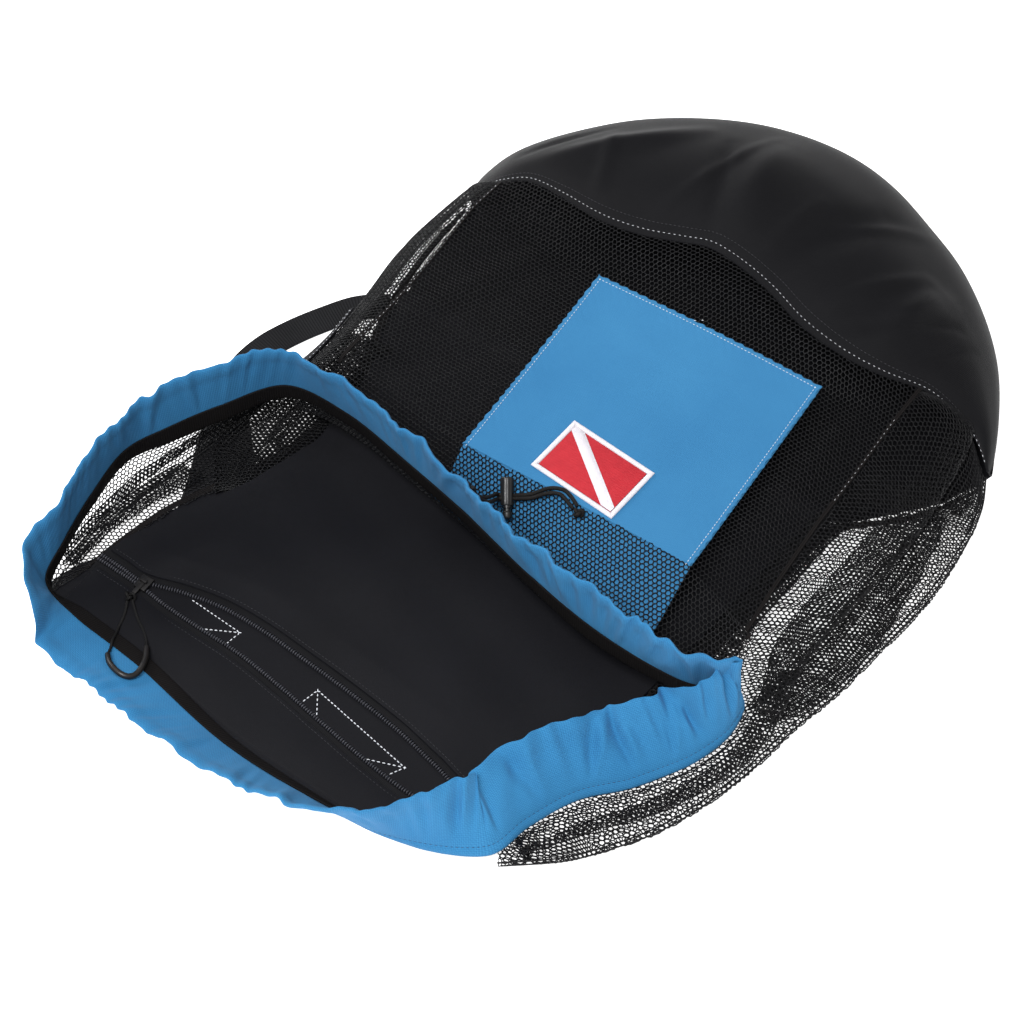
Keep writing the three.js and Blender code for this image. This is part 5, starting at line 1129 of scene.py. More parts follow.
over_face = FACE_LIFT + POCKET_CLOTH / 2 + 0.1
sweep = np.linspace(7.0, 13.88, 90)
spread = np.linspace(4.11, 10.89, 90)
stitches("pocket_stitches", [
    on_front(4.11, sweep, over_face), on_front(10.89, sweep, over_face), on_front(spread, 13.88, over_face),
    on_front(np.linspace(7.08, 7.26, 5), np.linspace(14.04, 14.22, 5), over_face),
], white_thread, 3.0, 2.0, 0.55)

# %% [markdown]
# ## The flag patch
# A diver-down flag is embroidered: a red field, a white stripe from corner to corner and a raised
# white edge. The three parts keep the place and turn of their solids; the edge is a rounded frame
# with thread wound over it, and the field is a flat plate of satin stitch.

# %% Patch
PATCH_WIDTH, PATCH_HEIGHT, PATCH_EDGE, PATCH_TURN = 76.0, 51.0, 4.0, -6


def pocket_cell_point(x, y):
    """Outer face of the pocket's solid at a place, from the flat cells it is made of."""
    u, v = (x - POCKET_LEFT) / POCKET_WIDTH * 7, (y - POCKET_NEAR) / POCKET_HEIGHT * 7
    i, j = int(u), int(v)
    corner = front_surface(
        np.array([[4.0 + i, 4.0 + i], [5.0 + i, 5.0 + i]]), np.array([[7.0 + j, 8.0 + j]] * 2),
    )
    low_edge, high_edge = lerp(corner[0, 0], corner[1, 0], u - i), lerp(corner[0, 1], corner[1, 1], u - i)
    normal = unit(np.cross(corner[1, 0] - corner[0, 0], corner[0, 1] - corner[0, 0]))
    return lerp(low_edge, high_edge, v - j) + normal * (FACE_LIFT + POCKET_CLOTH / 2), normal


patch_seat, patch_out = pocket_cell_point(48, 35)
turn = math.radians(PATCH_TURN)
patch_right = np.array([math.cos(turn), math.sin(turn), 0])
patch_up = unit(np.cross(patch_out, patch_right))
patch_right = np.cross(patch_up, patch_out)


def on_patch(x, y, z):
    x, y, z = (np.asarray(value, float)[..., None] for value in (x, y, z))
    return patch_seat + patch_right * x + patch_up * y + patch_out * z


def patch_frame(width, height, edge, low, high):
    """Rounded frame round a rectangle, in sections that turn its corners."""
    profile = [
        (-0.5, low), (-0.5, low + 0.4), (-0.3, high - 0.15), (0, high),
        (0.3, high - 0.15), (0.5, low + 0.4), (0.5, low),
    ]
    half_w, half_h = (width - edge) / 2, (height - edge) / 2
    corners = [(-half_w, -half_h), (half_w, -half_h), (half_w, half_h), (-half_w, half_h)]
    sections = []
    for k, (x, y) in enumerate(corners):
        nx, ny = corners[(k + 1) % 4]
        steps = 26 if k % 2 == 0 else 18
        for step in np.linspace(0, 1, steps, endpoint=False):
            px, py = lerp(x, nx, step), lerp(y, ny, step)
            dx, dy = np.sign(ny - y), -np.sign(nx - x)
            if step == 0:
                bx, by = corners[k - 1]
                dx, dy = dx + np.sign(y - by), dy - np.sign(x - bx)
            sections.append([on_patch(px + dx * o * edge, py + dy * o * edge, z) for o, z in profile])
    return np.array(sections)


def patch_plate(outline, low, high, name, material):
    """Flat embroidered plate from an outline, with its upper edge eased."""
    outline = np.array(outline, float)
    centre = outline.mean(axis=0)
    inner = centre + (outline - centre) * 0.992
    rings = [(outline, low), (outline, high - 0.15), (inner, high)]
    points = np.concatenate([on_patch(ring[:, 0], ring[:, 1], np.full(len(ring), z)) for ring, z in rings])
    n = len(outline)
    faces = [tuple(range(n))[::-1], tuple(2 * n + k for k in range(n))]
    for level in (0, 1):
        here, over = level * n, (level + 1) * n
        faces += [(here + k, here + (k + 1) % n, over + (k + 1) % n, over + k) for k in range(n)]
    flat = np.concatenate([outline, outline, inner]) * 0.001
    uv = np.concatenate([flat[list(face)] for face in faces])
    return make_piece(name, points, faces, uv, material)


border_sections = patch_frame(PATCH_WIDTH, PATCH_HEIGHT, PATCH_EDGE, 0.6, 1.9)
patch_border = swept("patch_edge", border_sections, patch_white, ring=True)
half_w, half_h = PATCH_WIDTH / 2 - PATCH_EDGE - 0.3, PATCH_HEIGHT / 2 - PATCH_EDGE - 0.3
patch_field = patch_plate(
    [(-half_w, -half_h), (half_w, -half_h), (half_w, half_h), (-half_w, half_h)],
    0.6, 1.3, "patch_red_field", patch_red,
)
patch_stripe = patch_plate(
    [
        (-half_w, half_h), (-half_w, half_h - 4.5), (half_w - 9, -half_h),
        (half_w, -half_h), (half_w, 4.5 - half_h), (9 - half_w, half_h),
    ],
    1.35, 1.9, "patch_white_stripe", patch_white,
)
for piece, node, slot in (
    (patch_border, "patch_border", "patch_white"), (patch_field, "patch_field", "patch_red"),
    (patch_stripe, "patch_stripe", "patch_white"),
):
    dress(node)
print("patch at", patch_seat.round(1))

# %% [markdown]
# ## The base cap
# The rounded base is a hollow nylon pocket. Each station runs from the front seam over the dome,
# round the rim and back along the floor. Long creases run from the seam towards the rim, where the
# empty cloth folds under its own weight.

# %% Base cap
CAP_RIM = np.array([
    (-0.37, 0.328), (-0.368, 0.36), (-0.345, 0.405), (-0.29, 0.455), (-0.225, 0.503), (-0.15, 0.54),
    (-0.07, 0.566), (0.01, 0.578), (0.09, 0.579), (0.165, 0.566), (0.24, 0.54), (0.31, 0.511),
    (0.378, 0.468), (0.432, 0.42), (0.473, 0.364), (0.504, 0.307),
]) * SCALE[:2]
CAP_FLOOR = np.array([
    (-0.35, 0.312), (-0.345, 0.25), (-0.338, 0.18), (-0.3, 0.166), (-0.15, 0.166), (0, 0.166),
    (0.15, 0.166), (0.3, 0.166), (0.358, 0.163), (0.395, 0.183), (0.432, 0.213), (0.468, 0.245), (0.494, 0.284),
]) * SCALE[:2]
CAP_CROWN = 92.0
CAP_SECTION = np.array([
    (0, 0, 1), (0.17, 0.14, 0.93), (0.36, 0.36, 0.7), (0.56, 0.5, 0.46), (0.75, 0.52, 0.25),
    (0.89, 0.48, 0.1), (0.975, 0.34, 0.02), (1, 0.1, 0),
])
CAP_FOLDS = [
    (0.05, 0.34, 0.02, 0.5, 0.03, 0.07), (0.12, 0.33, 0.2, 0.47, 0.025, -0.07),
    (-0.27, 0.33, -0.1, 0.48, 0.02, 0.06), (0.3, 0.32, 0.33, 0.42, 0.02, 0.07),
]
FINE_CREASES = [
    (0.2, 0.31, 0.3, 0.43, 0.0092, 0.032), (0.24, 0.3, 0.37, 0.4, 0.00805, -0.028),
    (0.02, 0.34, -0.05, 0.47, 0.0103, -0.028),
    (-0.15, 0.32, -0.2, 0.42, 0.0092, 0.028), (0.36, 0.33, 0.4, 0.39, 0.0092, -0.024),
    (-0.06, 0.33, 0.0, 0.52, 0.00805, 0.02),
    (0.14, 0.4, 0.26, 0.5, 0.0103, 0.028), (-0.3, 0.35, -0.22, 0.44, 0.0092, -0.024),
    (0.1, 0.34, 0.12, 0.44, 0.0069, 0.02),
]
PANEL_LIFT = 3.55
CAP_STATIONS, CAP_STEPS = 130, 60


def cap_point_grid():
    last = len(CAP_SEAM) - 1
    seam = smooth(CAP_SEAM, even_places(lambda t: smooth(CAP_SEAM, t), last, CAP_STATIONS))
    seam[:, 1] += SEAM_GAP / 2
    rim = smooth(CAP_RIM, even_places(lambda t: smooth(CAP_RIM, t), len(CAP_RIM) - 1, CAP_STATIONS))
    floor = smooth(CAP_FLOOR, even_places(lambda t: smooth(CAP_FLOOR, t), len(CAP_FLOOR) - 1, CAP_STATIONS))
    dome = np.sin(math.pi * np.linspace(0, 1, CAP_STATIONS)) ** 0.75
    lines = []
    for k in range(CAP_STATIONS):
        row = smooth(CAP_SECTION, np.linspace(0, 7, CAP_STEPS))
        run = row[:, 0]
        x, y = lerp(seam[k, 0], rim[k, 0], run), lerp(seam[k, 1], rim[k, 1], run)
        bump = fold_height(CAP_FOLDS, x, y) + fold_height(FINE_CREASES, x, y)
        bump = bump * np.sin(math.pi * np.clip(run, 0, 1))
        high = row[:, 2] * seam[k, 2] + row[:, 1] * CAP_CROWN * dome[k]
        least = NYLON_WALL / 2 + 2.2 * (1 - run) + 3 * row[:, 2]
        line = [np.array(point) for point in zip(x, y, np.maximum(high + bump, least))]
        line[-1][2] = max(line[-1][2], NYLON_WALL / 2 + 3.4)
        foot = lerp(rim[k], seam[k, :2], 0.02)
        line.append(np.array([foot[0], foot[1], NYLON_WALL / 2 + 0.6]))
        line.append(np.array([*lerp(rim[k], floor[k], 0.06), NYLON_WALL / 2]))
        for share in (0.8, 0.62, 0.45, 0.3, 0.15, 0):
            z = lerp(PANEL_LIFT, NYLON_WALL / 2, min(share * 2.2, 1))
            line.append(np.array([*lerp(floor[k], rim[k], share), z]))
        lines.append(line)
    return np.array(lines)


cap_grid = cap_point_grid()
base_cap = cloth_wall("base_cap_cloth", cap_grid, NYLON_WALL, cap_nylon)
dress("base_cap")
cap_normals = grid_normals(cap_grid)
cap_rows = [cap_grid[2:-2, k] + cap_normals[2:-2, k] * (NYLON_WALL / 2 + 0.1) for k in (2, 4)]
stitches("base_cap_stitches", [cap_rows[0]], white_thread, 4.2, 2.0, 0.45)
stitches("base_cap_dark_stitches", [cap_rows[1]], black_thread, 3.4, 2.4, 0.5)
print("base cap", len(base_cap.data.polygons), "faces")

# %% [markdown]
# ## The side gussets
# The net sides fold flat when the bag is empty: an upper ply with a pleat in it, an outer fold, and
# a ply back along the floor. Where plies lie on each other the net reads darker, which is how the
# photograph of such a bag shows its folds. A smooth line through each folded section keeps the
# net in one piece from seam to seam.

# %% Side gussets
PLY_LIFT, CUFF_STAND_OFF = 3.2, 3.4


def side_seam_at(x):
    """Near side of the cap seam at a given x."""
    y, z = cap_seam_at(x)
    return np.array([x, float(y) + 0.4 - 2 * SEAM_GAP, float(z)])


def gusset_section(row, out, end_share):
    """Points of the folded section from the upper seam over the outer fold to the back panel."""
    top_x, top_y, top_z, fold_x, fold_y, back_x, back_y, tuck, place = row
    top = np.array([top_x * BAG_WIDTH, top_y * BAG_LENGTH, top_z * BAG_DEPTH - SEAM_GAP])
    fold = np.array([fold_x * BAG_WIDTH, fold_y * BAG_LENGTH, PANEL_LIFT + PLY_LIFT])
    back = np.array([back_x * BAG_WIDTH, back_y * BAG_LENGTH, PANEL_LIFT])
    top = top + out * CUFF_STAND_OFF * (1 - end_share)
    back = back + out * SEAM_GAP
    slope = fold - top
    normal = unit(np.cross(slope, np.cross(out, (0, 0, 1.0))))
    if normal @ out + normal[2] < 0:
        normal = -normal
    folded = tuck > 5
    half = min(tuck / np.linalg.norm(slope) / 2, 0.28) if folded else 0.15
    near, far = max(place - half, 0.14), min(place + half, 0.86)
    lift = PLY_LIFT if folded else 0.0

    def upper(share, plies):
        point = lerp(top, fold, share)
        point = lerp(point, side_seam_at(point[0]), end_share)
        return point + normal * plies * lift

    if folded:
        pleat = [upper(far, 2), upper(far, 1), upper(near, 1), upper(near, 0)]
    else:
        pleat = [upper(s, 0) for s in (near, lerp(near, far, 0.3), lerp(near, far, 0.6), far)]
    turn = lambda move, z: np.array([*(fold - out * move)[:2], z])
    inner = turn(2, PANEL_LIFT)
    return np.array([
        upper(0, 0), upper(near * 0.55, 1.4), *pleat, upper(min(far + 0.08, 0.93), 0),
        turn(2, PANEL_LIFT + PLY_LIFT), turn(0, PANEL_LIFT + PLY_LIFT / 2), inner, lerp(inner, back, 0.5), back,
    ])


def gusset_grid(table, side, stations, steps):
    last = len(table) - 1
    tops = table[:, :3] * SCALE
    folds = np.column_stack([table[:, 3:5] * SCALE[:2], np.zeros(len(table))])
    marks = even_places(lambda t: smooth(tops, t), last, stations)
    lines = []
    for index, place in enumerate(marks):
        travel = smooth(folds, np.clip(place + 0.3, 0, last)) - smooth(folds, np.clip(place - 0.3, 0, last))
        out = unit(np.array([side * travel[1], -side * travel[0], 0]))
        end_share = float(step_between(0.86, 1, index / (stations - 1)))
        section = gusset_section(smooth(table, place), out, end_share)
        lines.append(section if steps is None else curve_through(section, steps))
    return np.array(lines)


right_grid = gusset_grid(RIGHT_SIDE, 1, 150, 110)
left_grid = gusset_grid(LEFT_SIDE, -1, 120, 80)
side_right = net("side_right_net", right_grid, seed=7)
side_left = net("side_left_net", left_grid, seed=8)
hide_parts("side_right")
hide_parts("side_left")

# %% [markdown]
# Every seam of the net is bound with a narrow tape, its outer folds are drawn into a double line, and
# where the empty bag's sides crumple inwards more plies of the same net lie under the upper one.

# %% Seam tapes and crumpled plies
for name, grid, lift in (
    ("front_right_tape", front_grid(13.91, 14.04, 6.6, 17, 5, 100), 0.95),
    ("front_left_tape", front_grid(-0.02, 0.06, 6.6, 17, 5, 100), 0.95),
    ("gusset_right_tape", right_grid[:, -5:], 0.0),
    ("gusset_left_tape", left_grid[:, -5:], 0.0),
):
    cloth_wall(name, grid, 0.7, binding_tape, lift=lift)
for name, table, start in (("right", RIGHT_SIDE, 0), ("left", LEFT_SIDE, 1)):
    fold_rows = table[start:, 3:5] * SCALE[:2]
    height = np.full((len(fold_rows), 1), PANEL_LIFT + PLY_LIFT / 2)
    outer = curve_through(np.hstack([fold_rows, height]), 160)
    inward = unit(np.array([*(table[:, 5:7].mean(axis=0) * SCALE[:2] - fold_rows.mean(axis=0)), 0]))
    for index, move in enumerate((0.0, 3.2)):
        line = outer + inward * move + np.array([0, 0, 0.9 * index])
        swept("fold_" + name + "_" + str(index), round_sections(line, 0.6, 8), net_strand)
CRUMPLED = {
    # how many plies, then along, inner edge, outer edge
    "right": (3, [
        (-85, 174, 196), (-58, 175, 209), (1, 182, 204), (60, 188, 208),
        (109, 193, 212), (150, 200, 222), (178, 214, 240),
    ]),
    "right_middle": (2, [
        (-50, 236, 258), (-20, 243, 273), (22, 250, 283), (70, 253, 284),
        (122, 258, 281), (170, 264, 275),
    ]),
    "right_far": (2, [(184, 240, 280), (198, 250, 281), (210, 262, 278)]),
    "left": (3, [
        (-108, -186, -194), (-92, -172, -206), (-69, -164, -223),
        (-20, -158, -222), (25, -162, -213), (70, -166, -202),
    ]),
    "left_low": (2, [(-222, -239, -246), (-185, -237, -248), (-150, -228, -245), (-110, -211, -234)]),
}
for name, (plies, rows) in CRUMPLED.items():
    rows = smooth(np.array(rows, float), np.linspace(0, len(rows) - 1, 60))
    s = np.linspace(0, 1, 20)
    for ply in range(plies):
        x = lerp(rows[:, 1:2], rows[:, 2:3], s)
        y = rows[:, :1] + 3 * np.sin(3 * s + ply)
        z = PANEL_LIFT + 0.9 + 0.8 * ply + 0.4 * np.sin(x / 9 + ply)
        width = 1.35 if plies == 3 else 1.1
        folded = np.stack([x, y, z], axis=-1)
        folded_net = net("crumpled_%s_%d" % (name, ply), folded, strand_width=width, seed=20 + ply)

# %% [markdown]
# ## Nylon on the floor
# Below the mouth lie the back panel, the facing that runs from the cuff to the zip and the lining
# beyond it. Flat nylon is never quite flat: low waves of hand width, which die out at its seams,
# catch the light.

# %% Back panel, facing and lining
BACK_PANEL = np.array([
    (-0.345, -0.405, 0.262), (-0.31, -0.402, 0.264), (-0.26, -0.388, 0.277), (-0.2, -0.369, 0.293),
    (-0.12, -0.32, 0.308), (-0.04, -0.287, 0.322), (0.04, -0.294, 0.332), (0.12, -0.318, 0.344),
    (0.163, -0.326, 0.352),
])
LINING_LIFT, ZIP_COVER = 7.05, 7.0
ZIP = np.array([
    (-0.404, -0.274, -0.279), (-0.37, -0.275, -0.28), (-0.336, -0.2762, -0.2812), (-0.282, -0.265, -0.286),
    (-0.225, -0.257, -0.288), (-0.161, -0.256, -0.29), (-0.093, -0.26, -0.297), (-0.009, -0.266, -0.308),
    (0.079, -0.275, -0.319), (0.15, -0.287, -0.324), (0.2, -0.298, -0.32), (0.24, -0.306, -0.312),
])


def zip_row(x, upper):
    place = np.interp(x, ZIP[:, 0] * BAG_WIDTH, np.arange(len(ZIP)))
    return smooth(ZIP[:, 1 if upper else 2], place) * BAG_LENGTH


back_places = np.linspace(18.6, 26, 500)
back_feet = ring_point(back_places)[::-1]


def back_seam_y(x):
    return np.interp(x, back_feet[:, 0], back_feet[:, 1])


def panel_edge(along, side):
    return np.interp(along, BACK_PANEL[:, 0], BACK_PANEL[:, side]) * BAG_WIDTH


def soft_waves(x, y, height):
    """Low waves in flat cloth, never below it."""
    wave = np.sin(x / 31 + 0.8 * np.sin(y / 40)) * np.sin(y / 36 + 1.1)
    wave = wave + 0.5 * np.sin((x + y) / 19) * np.sin((x - 2 * y) / 47)
    return height * np.clip(0.5 + 0.4 * wave, 0, 1)


share = np.linspace(0, 1, 90)
along_rows = np.concatenate([[-0.345], np.linspace(-0.335, 0.176, 89)])
back_grid = np.zeros((90, 90, 3))
for k, along in enumerate(along_rows):
    under_net = 8 + 10 * (1 - float(step_between(-0.33, -0.25, along)))
    x = lerp(panel_edge(along, 1) - under_net, panel_edge(along, 2) + 5, share)
    lapped = PANEL_LIFT + 1.8 * float(step_between(0.156, 0.166, along))
    lapped = lapped - 1.6 * (1 - step_between(0.01, 0.06, share)) - 1.6 * step_between(0.95, 0.99, share)
    back_grid[:, k] = np.stack([x, np.full(90, along * BAG_LENGTH - 0.4), lapped], axis=-1)
start_x = back_grid[:, 0, 0]
start_y = back_seam_y(start_x) - 1 + 9 * step_between(-130, -40, start_x)
for k in range(12):
    back_grid[:, k, 1] = lerp(start_y, back_grid[:, 12, 1], k / 12)
back_panel = cloth_wall("back_panel_cloth", back_grid, NYLON_WALL, black_nylon)
facing_left, facing_right = -0.398 * BAG_WIDTH, 0.256 * BAG_WIDTH
x, s = np.meshgrid(np.linspace(facing_left, facing_right, 150), np.linspace(0, 1, 40), indexing="ij")
facing_y = lerp(back_seam_y(x) - 1.5 + 5 * step_between(-130, -40, x), zip_row(x, False) - ZIP_COVER, s)
edges_free = np.sin(math.pi * s) * np.clip((facing_right - x) / 20, 0, 1)
edges_free = edges_free * np.clip((x - facing_left) / 20, 0, 1)
facing_z = LINING_LIFT + soft_waves(x, facing_y, 2.4) * edges_free - 2.3 * (1 - step_between(0, 0.1, s))
facing_grid = np.stack([x, facing_y, facing_z], axis=-1)
facing = cloth_wall("facing_cloth", facing_grid, NYLON_WALL, black_nylon)
t, s = np.meshgrid(np.linspace(0, 1, 120), np.linspace(0, 1, 110), indexing="ij")
near_x = lerp(facing_left, facing_right, t)
along = lerp((zip_row(near_x, True) + ZIP_COVER) / BAG_LENGTH, 0.08, s)
lining_x = lerp(panel_edge(along, 1) + 3, panel_edge(along, 2) - 3, t)
lining_x = lerp(near_x, lining_x, step_between(0, 0.2, s))
edges_free = np.clip(np.sin(math.pi * t) * 3, 0, 1) * np.clip(s * 12, 0, 1)
lining_z = LINING_LIFT + soft_waves(lining_x, along * BAG_LENGTH, 4.0) * edges_free
lining_grid = np.stack([lining_x, along * BAG_LENGTH, lining_z], axis=-1)
lining = cloth_wall("lining_cloth", lining_grid, NYLON_WALL, black_nylon)
for piece, node in ((back_panel, "back_panel"), (facing, "facing"), (lining, "back_lining")):
    dress(node)
print("nylon panels", len(back_panel.data.polygons), len(facing.data.polygons), len(lining.data.polygons))

# %% Seams of the facing, and the boxes sewn through the straps
def flat_line(points, z, count=60):
    points = np.array([(x, y, z) for x, y in points], float)
    return np.concatenate([
        points[k] + (points[k + 1] - points[k]) * np.linspace(0, 1, count)[:, None]
        for k in range(len(points) - 1)
    ])


edge_x = np.linspace(facing_left + 4, facing_right - 4, 160)
seam_lift = np.full(160, LINING_LIFT + 1.0)
facing_seam = np.stack([edge_x, zip_row(edge_x, False) - ZIP_COVER - 2.5, seam_lift], axis=-1)
lining_seam = np.stack([edge_x, zip_row(edge_x, True) + ZIP_COVER + 2.5, seam_lift], axis=-1)
stitches("zip_stitches", [facing_seam, lining_seam], black_thread, 3.2, 2.4, 0.45)
panel_top = PANEL_LIFT + NYLON_WALL / 2 + 0.1
left_box = flat_line([(-146, -199), (-101, -202), (-103, -214)], panel_top)
left_cross = flat_line([(-126, -215), (-101, -202)], panel_top)
right_box = flat_line([(-28, -222), (-25, -210), (63, -227), (58, -236)], panel_top)
right_cross = [flat_line([(-25, -210), (-14, -226)], panel_top), flat_line([(38, -236), (63, -227)], panel_top)]
box_lines = [left_box, left_cross, right_box, *right_cross]
stitches("strap_box_stitches", box_lines, white_thread, 3.4, 2.7, 0.95)

sides = np.linspace(8, 16.6, 90)
stitches(
    "front_side_stitches", [on_front(13.97, np.linspace(11.4, 14.6, 34), 1.5), on_front(0.02, sides, 1.5)],
    white_thread, 4.6, 1.7, 0.38,
)
inner_line = flat_line([(150, -63), (174, -64), (196, -68)], 11.5)
stitches("inner_seam_stitches", [inner_line], white_thread, 4.2, 2.4, 0.55)

# %% [markdown]
# ## The zip
# Two woven tapes each carry a nylon coil. A coil is a helix sewn flat, so from above it shows as a
# row of small rounded teeth. The tooth is made once and set along each row by a tree.

# %% Zip tapes and coils
TAPE_LIFT, TAPE_WIDTH = 5.5, 12.0
COIL_SEAT, COIL_WIDTH, COIL_HEIGHT, TOOTH_PITCH = 4.7, 3.7, 3.0, 2.1
zip_x = np.linspace(ZIP_START, ZIP_END, 120)


def tape_grid(upper):
    row, sign = zip_row(zip_x, upper), 1 if upper else -1
    offsets = np.linspace(COIL_WIDTH / 2 + 0.3, TAPE_WIDTH, 12)
    lines = [np.stack([zip_x, row + sign * o, np.full(len(zip_x), TAPE_LIFT)], axis=-1) for o in offsets]
    grid = np.stack(lines, axis=1)
    return grid if upper else grid[:, ::-1]


tooth_tree = row_tree("zip_teeth", 10, 6)
coil_plastic = strand_material("coil_plastic", rgb(0.11, 0.11, 0.12), rgb(0.30, 0.30, 0.33), 0.4)
for name, upper in (("lower", False), ("upper", True)):
    tape = cloth_wall("zip_tape_" + name + "_cloth", tape_grid(upper), 0.8, zip_tape)
    dress("zip_tape_" + name)
    row = np.stack([zip_x, zip_row(zip_x, upper), np.full(len(zip_x), COIL_SEAT + COIL_HEIGHT / 2)], axis=-1)
    size = (TOOTH_PITCH * 0.62, COIL_WIDTH, COIL_HEIGHT)
    teeth = rowed("zip_teeth_" + name, [row], tooth_tree, TOOTH_PITCH, size, coil_plastic)
    dress("zip_coil_" + name)

# %% [markdown]
# ## Straps and tab
# The shoulder straps lie flat under the bag. Webbing is woven in ribs across its length, which the
# sweep's own coordinates follow round every bend. The tab holds the strap's thin end.

# %% Straps and tab
LEFT_STRAP = np.array([
    (-0.259, -0.322, 1), (-0.262, -0.28, 1), (-0.285, -0.22, 0.85), (-0.335, -0.15, 0.55),
    (-0.392, -0.09, 0.25),
    (-0.43, -0.045, 0.08), (-0.448, -0.007, 0), (-0.446, 0.03, 0), (-0.43, 0.065, 0), (-0.406, 0.1, 0),
    (-0.38, 0.13, 0), (-0.345, 0.15, 0),
])
RIGHT_STRAP = np.array([
    (0.034, -0.322, 1), (0.036, -0.26, 1), (0.06, -0.17, 0.8), (0.12, -0.07, 0.5),
    (0.2, 0.02, 0.22), (0.27, 0.08, 0.05), (0.318, 0.125, 0),
])
STRAP_WALL = 2.4


def strap_grid(table, steps):
    last = len(table) - 1
    middle = lambda t: smooth(table[:, :2] * SCALE[:2], t)
    marks = even_places(middle, last, steps)
    travel = middle(np.minimum(marks + 0.05, last)) - middle(np.maximum(marks - 0.05, 0))
    side = unit(np.stack([-travel[:, 1], travel[:, 0]], axis=-1))
    half = lerp(24.0, 88.0, np.clip(smooth(table[:, 2], marks), 0, 1)) / 2
    offsets = np.linspace(-1, 1, 9)
    plan = middle(marks)[:, None] + side[:, None] * (half[:, None] * offsets)[..., None]
    return np.concatenate([plan, np.full(plan.shape[:2] + (1,), STRAP_WALL / 2)], axis=2)


for name, table, steps in (("left", LEFT_STRAP, 120), ("right", RIGHT_STRAP, 100)):
    strap = cloth_wall("strap_" + name + "_webbing", strap_grid(table, steps), STRAP_WALL, webbing)
    dress("strap_" + name)
folded = gusset_grid(LEFT_SIDE, -1, 14, None)
folded_out = grid_normals(folded)
TAB_INNER, TAB_THICKNESS = [0.1, 0.42, 0.72, 0.94], 1.5
tab_lift = NET_WALL / 2 + SEAM_GAP + TAB_THICKNESS / 2
tab_rows = []
for station, inner in zip((6, 7, 8, 9), TAB_INNER):
    row = [lerp(folded[station][1], folded[station][2], s) for s in (inner, lerp(inner, 1, 0.5), 1)]
    shares = (inner, lerp(inner, 1, 0.5), 1)
    out = [unit(lerp(folded_out[station][1], folded_out[station][2], s)) for s in shares]
    tab_rows.append([point + direction * tab_lift for point, direction in zip(row, out)])
tab_rows = np.array(tab_rows)
tab_fine = smooth(tab_rows, np.linspace(0, 3, 40))
tab_fine = np.stack([smooth(line, np.linspace(0, 2, 20)) for line in tab_fine])
strap_tab = cloth_wall("strap_tab_cloth", tab_fine, TAB_THICKNESS, black_nylon)
dress("strap_tab")
tab_out = grid_normals(tab_fine)
tab_top = tab_fine + tab_out * (TAB_THICKNESS / 2 + 0.1)
stitches("strap_tab_stitches", [tab_top[2:-2, 2], tab_top[2:-2, -3]], white_thread, 4.5, 1.6, 0.5)

# %% [markdown]
# ## Cord lock
# The lock is a turned barrel with a sprung button, both pierced for the strands. The profiles are
# turned finely, the barrel gets shallow grooves for grip, and a boolean cuts the same hole and slot
# that the solids have. The button rides on its own body, so it moves when it is pressed.

# %% Lock
def turned_body(name, profile, material, body, grooves=0.0, sides=60):
    """Body turned about the lock's axis from pairs of radius and height."""
    angles = np.linspace(0, 2 * math.pi, sides, endpoint=False)
    sections = []
    for radius, height in profile:
        wavy = np.maximum(radius - grooves * (np.sin(angles * 10) > 0.2) * (radius > 4.7), 0.01)
        ring = cord_axis * (np.cos(angles) * wavy)[:, None] + lock_side * (np.sin(angles) * wavy)[:, None]
        sections.append(LOCK_CENTRE + lock_axis * height + ring)
    return swept(name, np.array(sections), material, body=body, smooth_angle=35)


def cut_through(piece, centre, half_sizes):
    """Cuts a box-shaped hole, square to the lock, out of a piece."""
    corners, faces = [], [(0, 1, 3, 2), (4, 6, 7, 5), (0, 4, 5, 1), (2, 3, 7, 6), (0, 2, 6, 4), (1, 5, 7, 3)]
    for i in (-1, 1):
        for j in (-1, 1):
            for k in (-1, 1):
                reach = cord_axis * i * half_sizes[0] + lock_axis * j * half_sizes[1]
                corners.append(centre + reach + lock_side * k * half_sizes[2])
    mesh = bpy.data.meshes.new("cutter")
    mesh.from_pydata(metres(corners).tolist(), [], faces)
    cutter = bpy.data.objects.new("cutter", mesh)
    scene.collection.objects.link(cutter)
    cut = piece.modifiers.new("cut", "BOOLEAN")
    cut.operation, cut.object, cut.solver = "DIFFERENCE", cutter, "EXACT"
    depsgraph = bpy.context.evaluated_depsgraph_get()
    old, piece.data = piece.data, bpy.data.meshes.new_from_object(piece.evaluated_get(depsgraph))
    piece.modifiers.clear()
    bpy.data.objects.remove(cutter)
    bpy.data.meshes.remove(old)


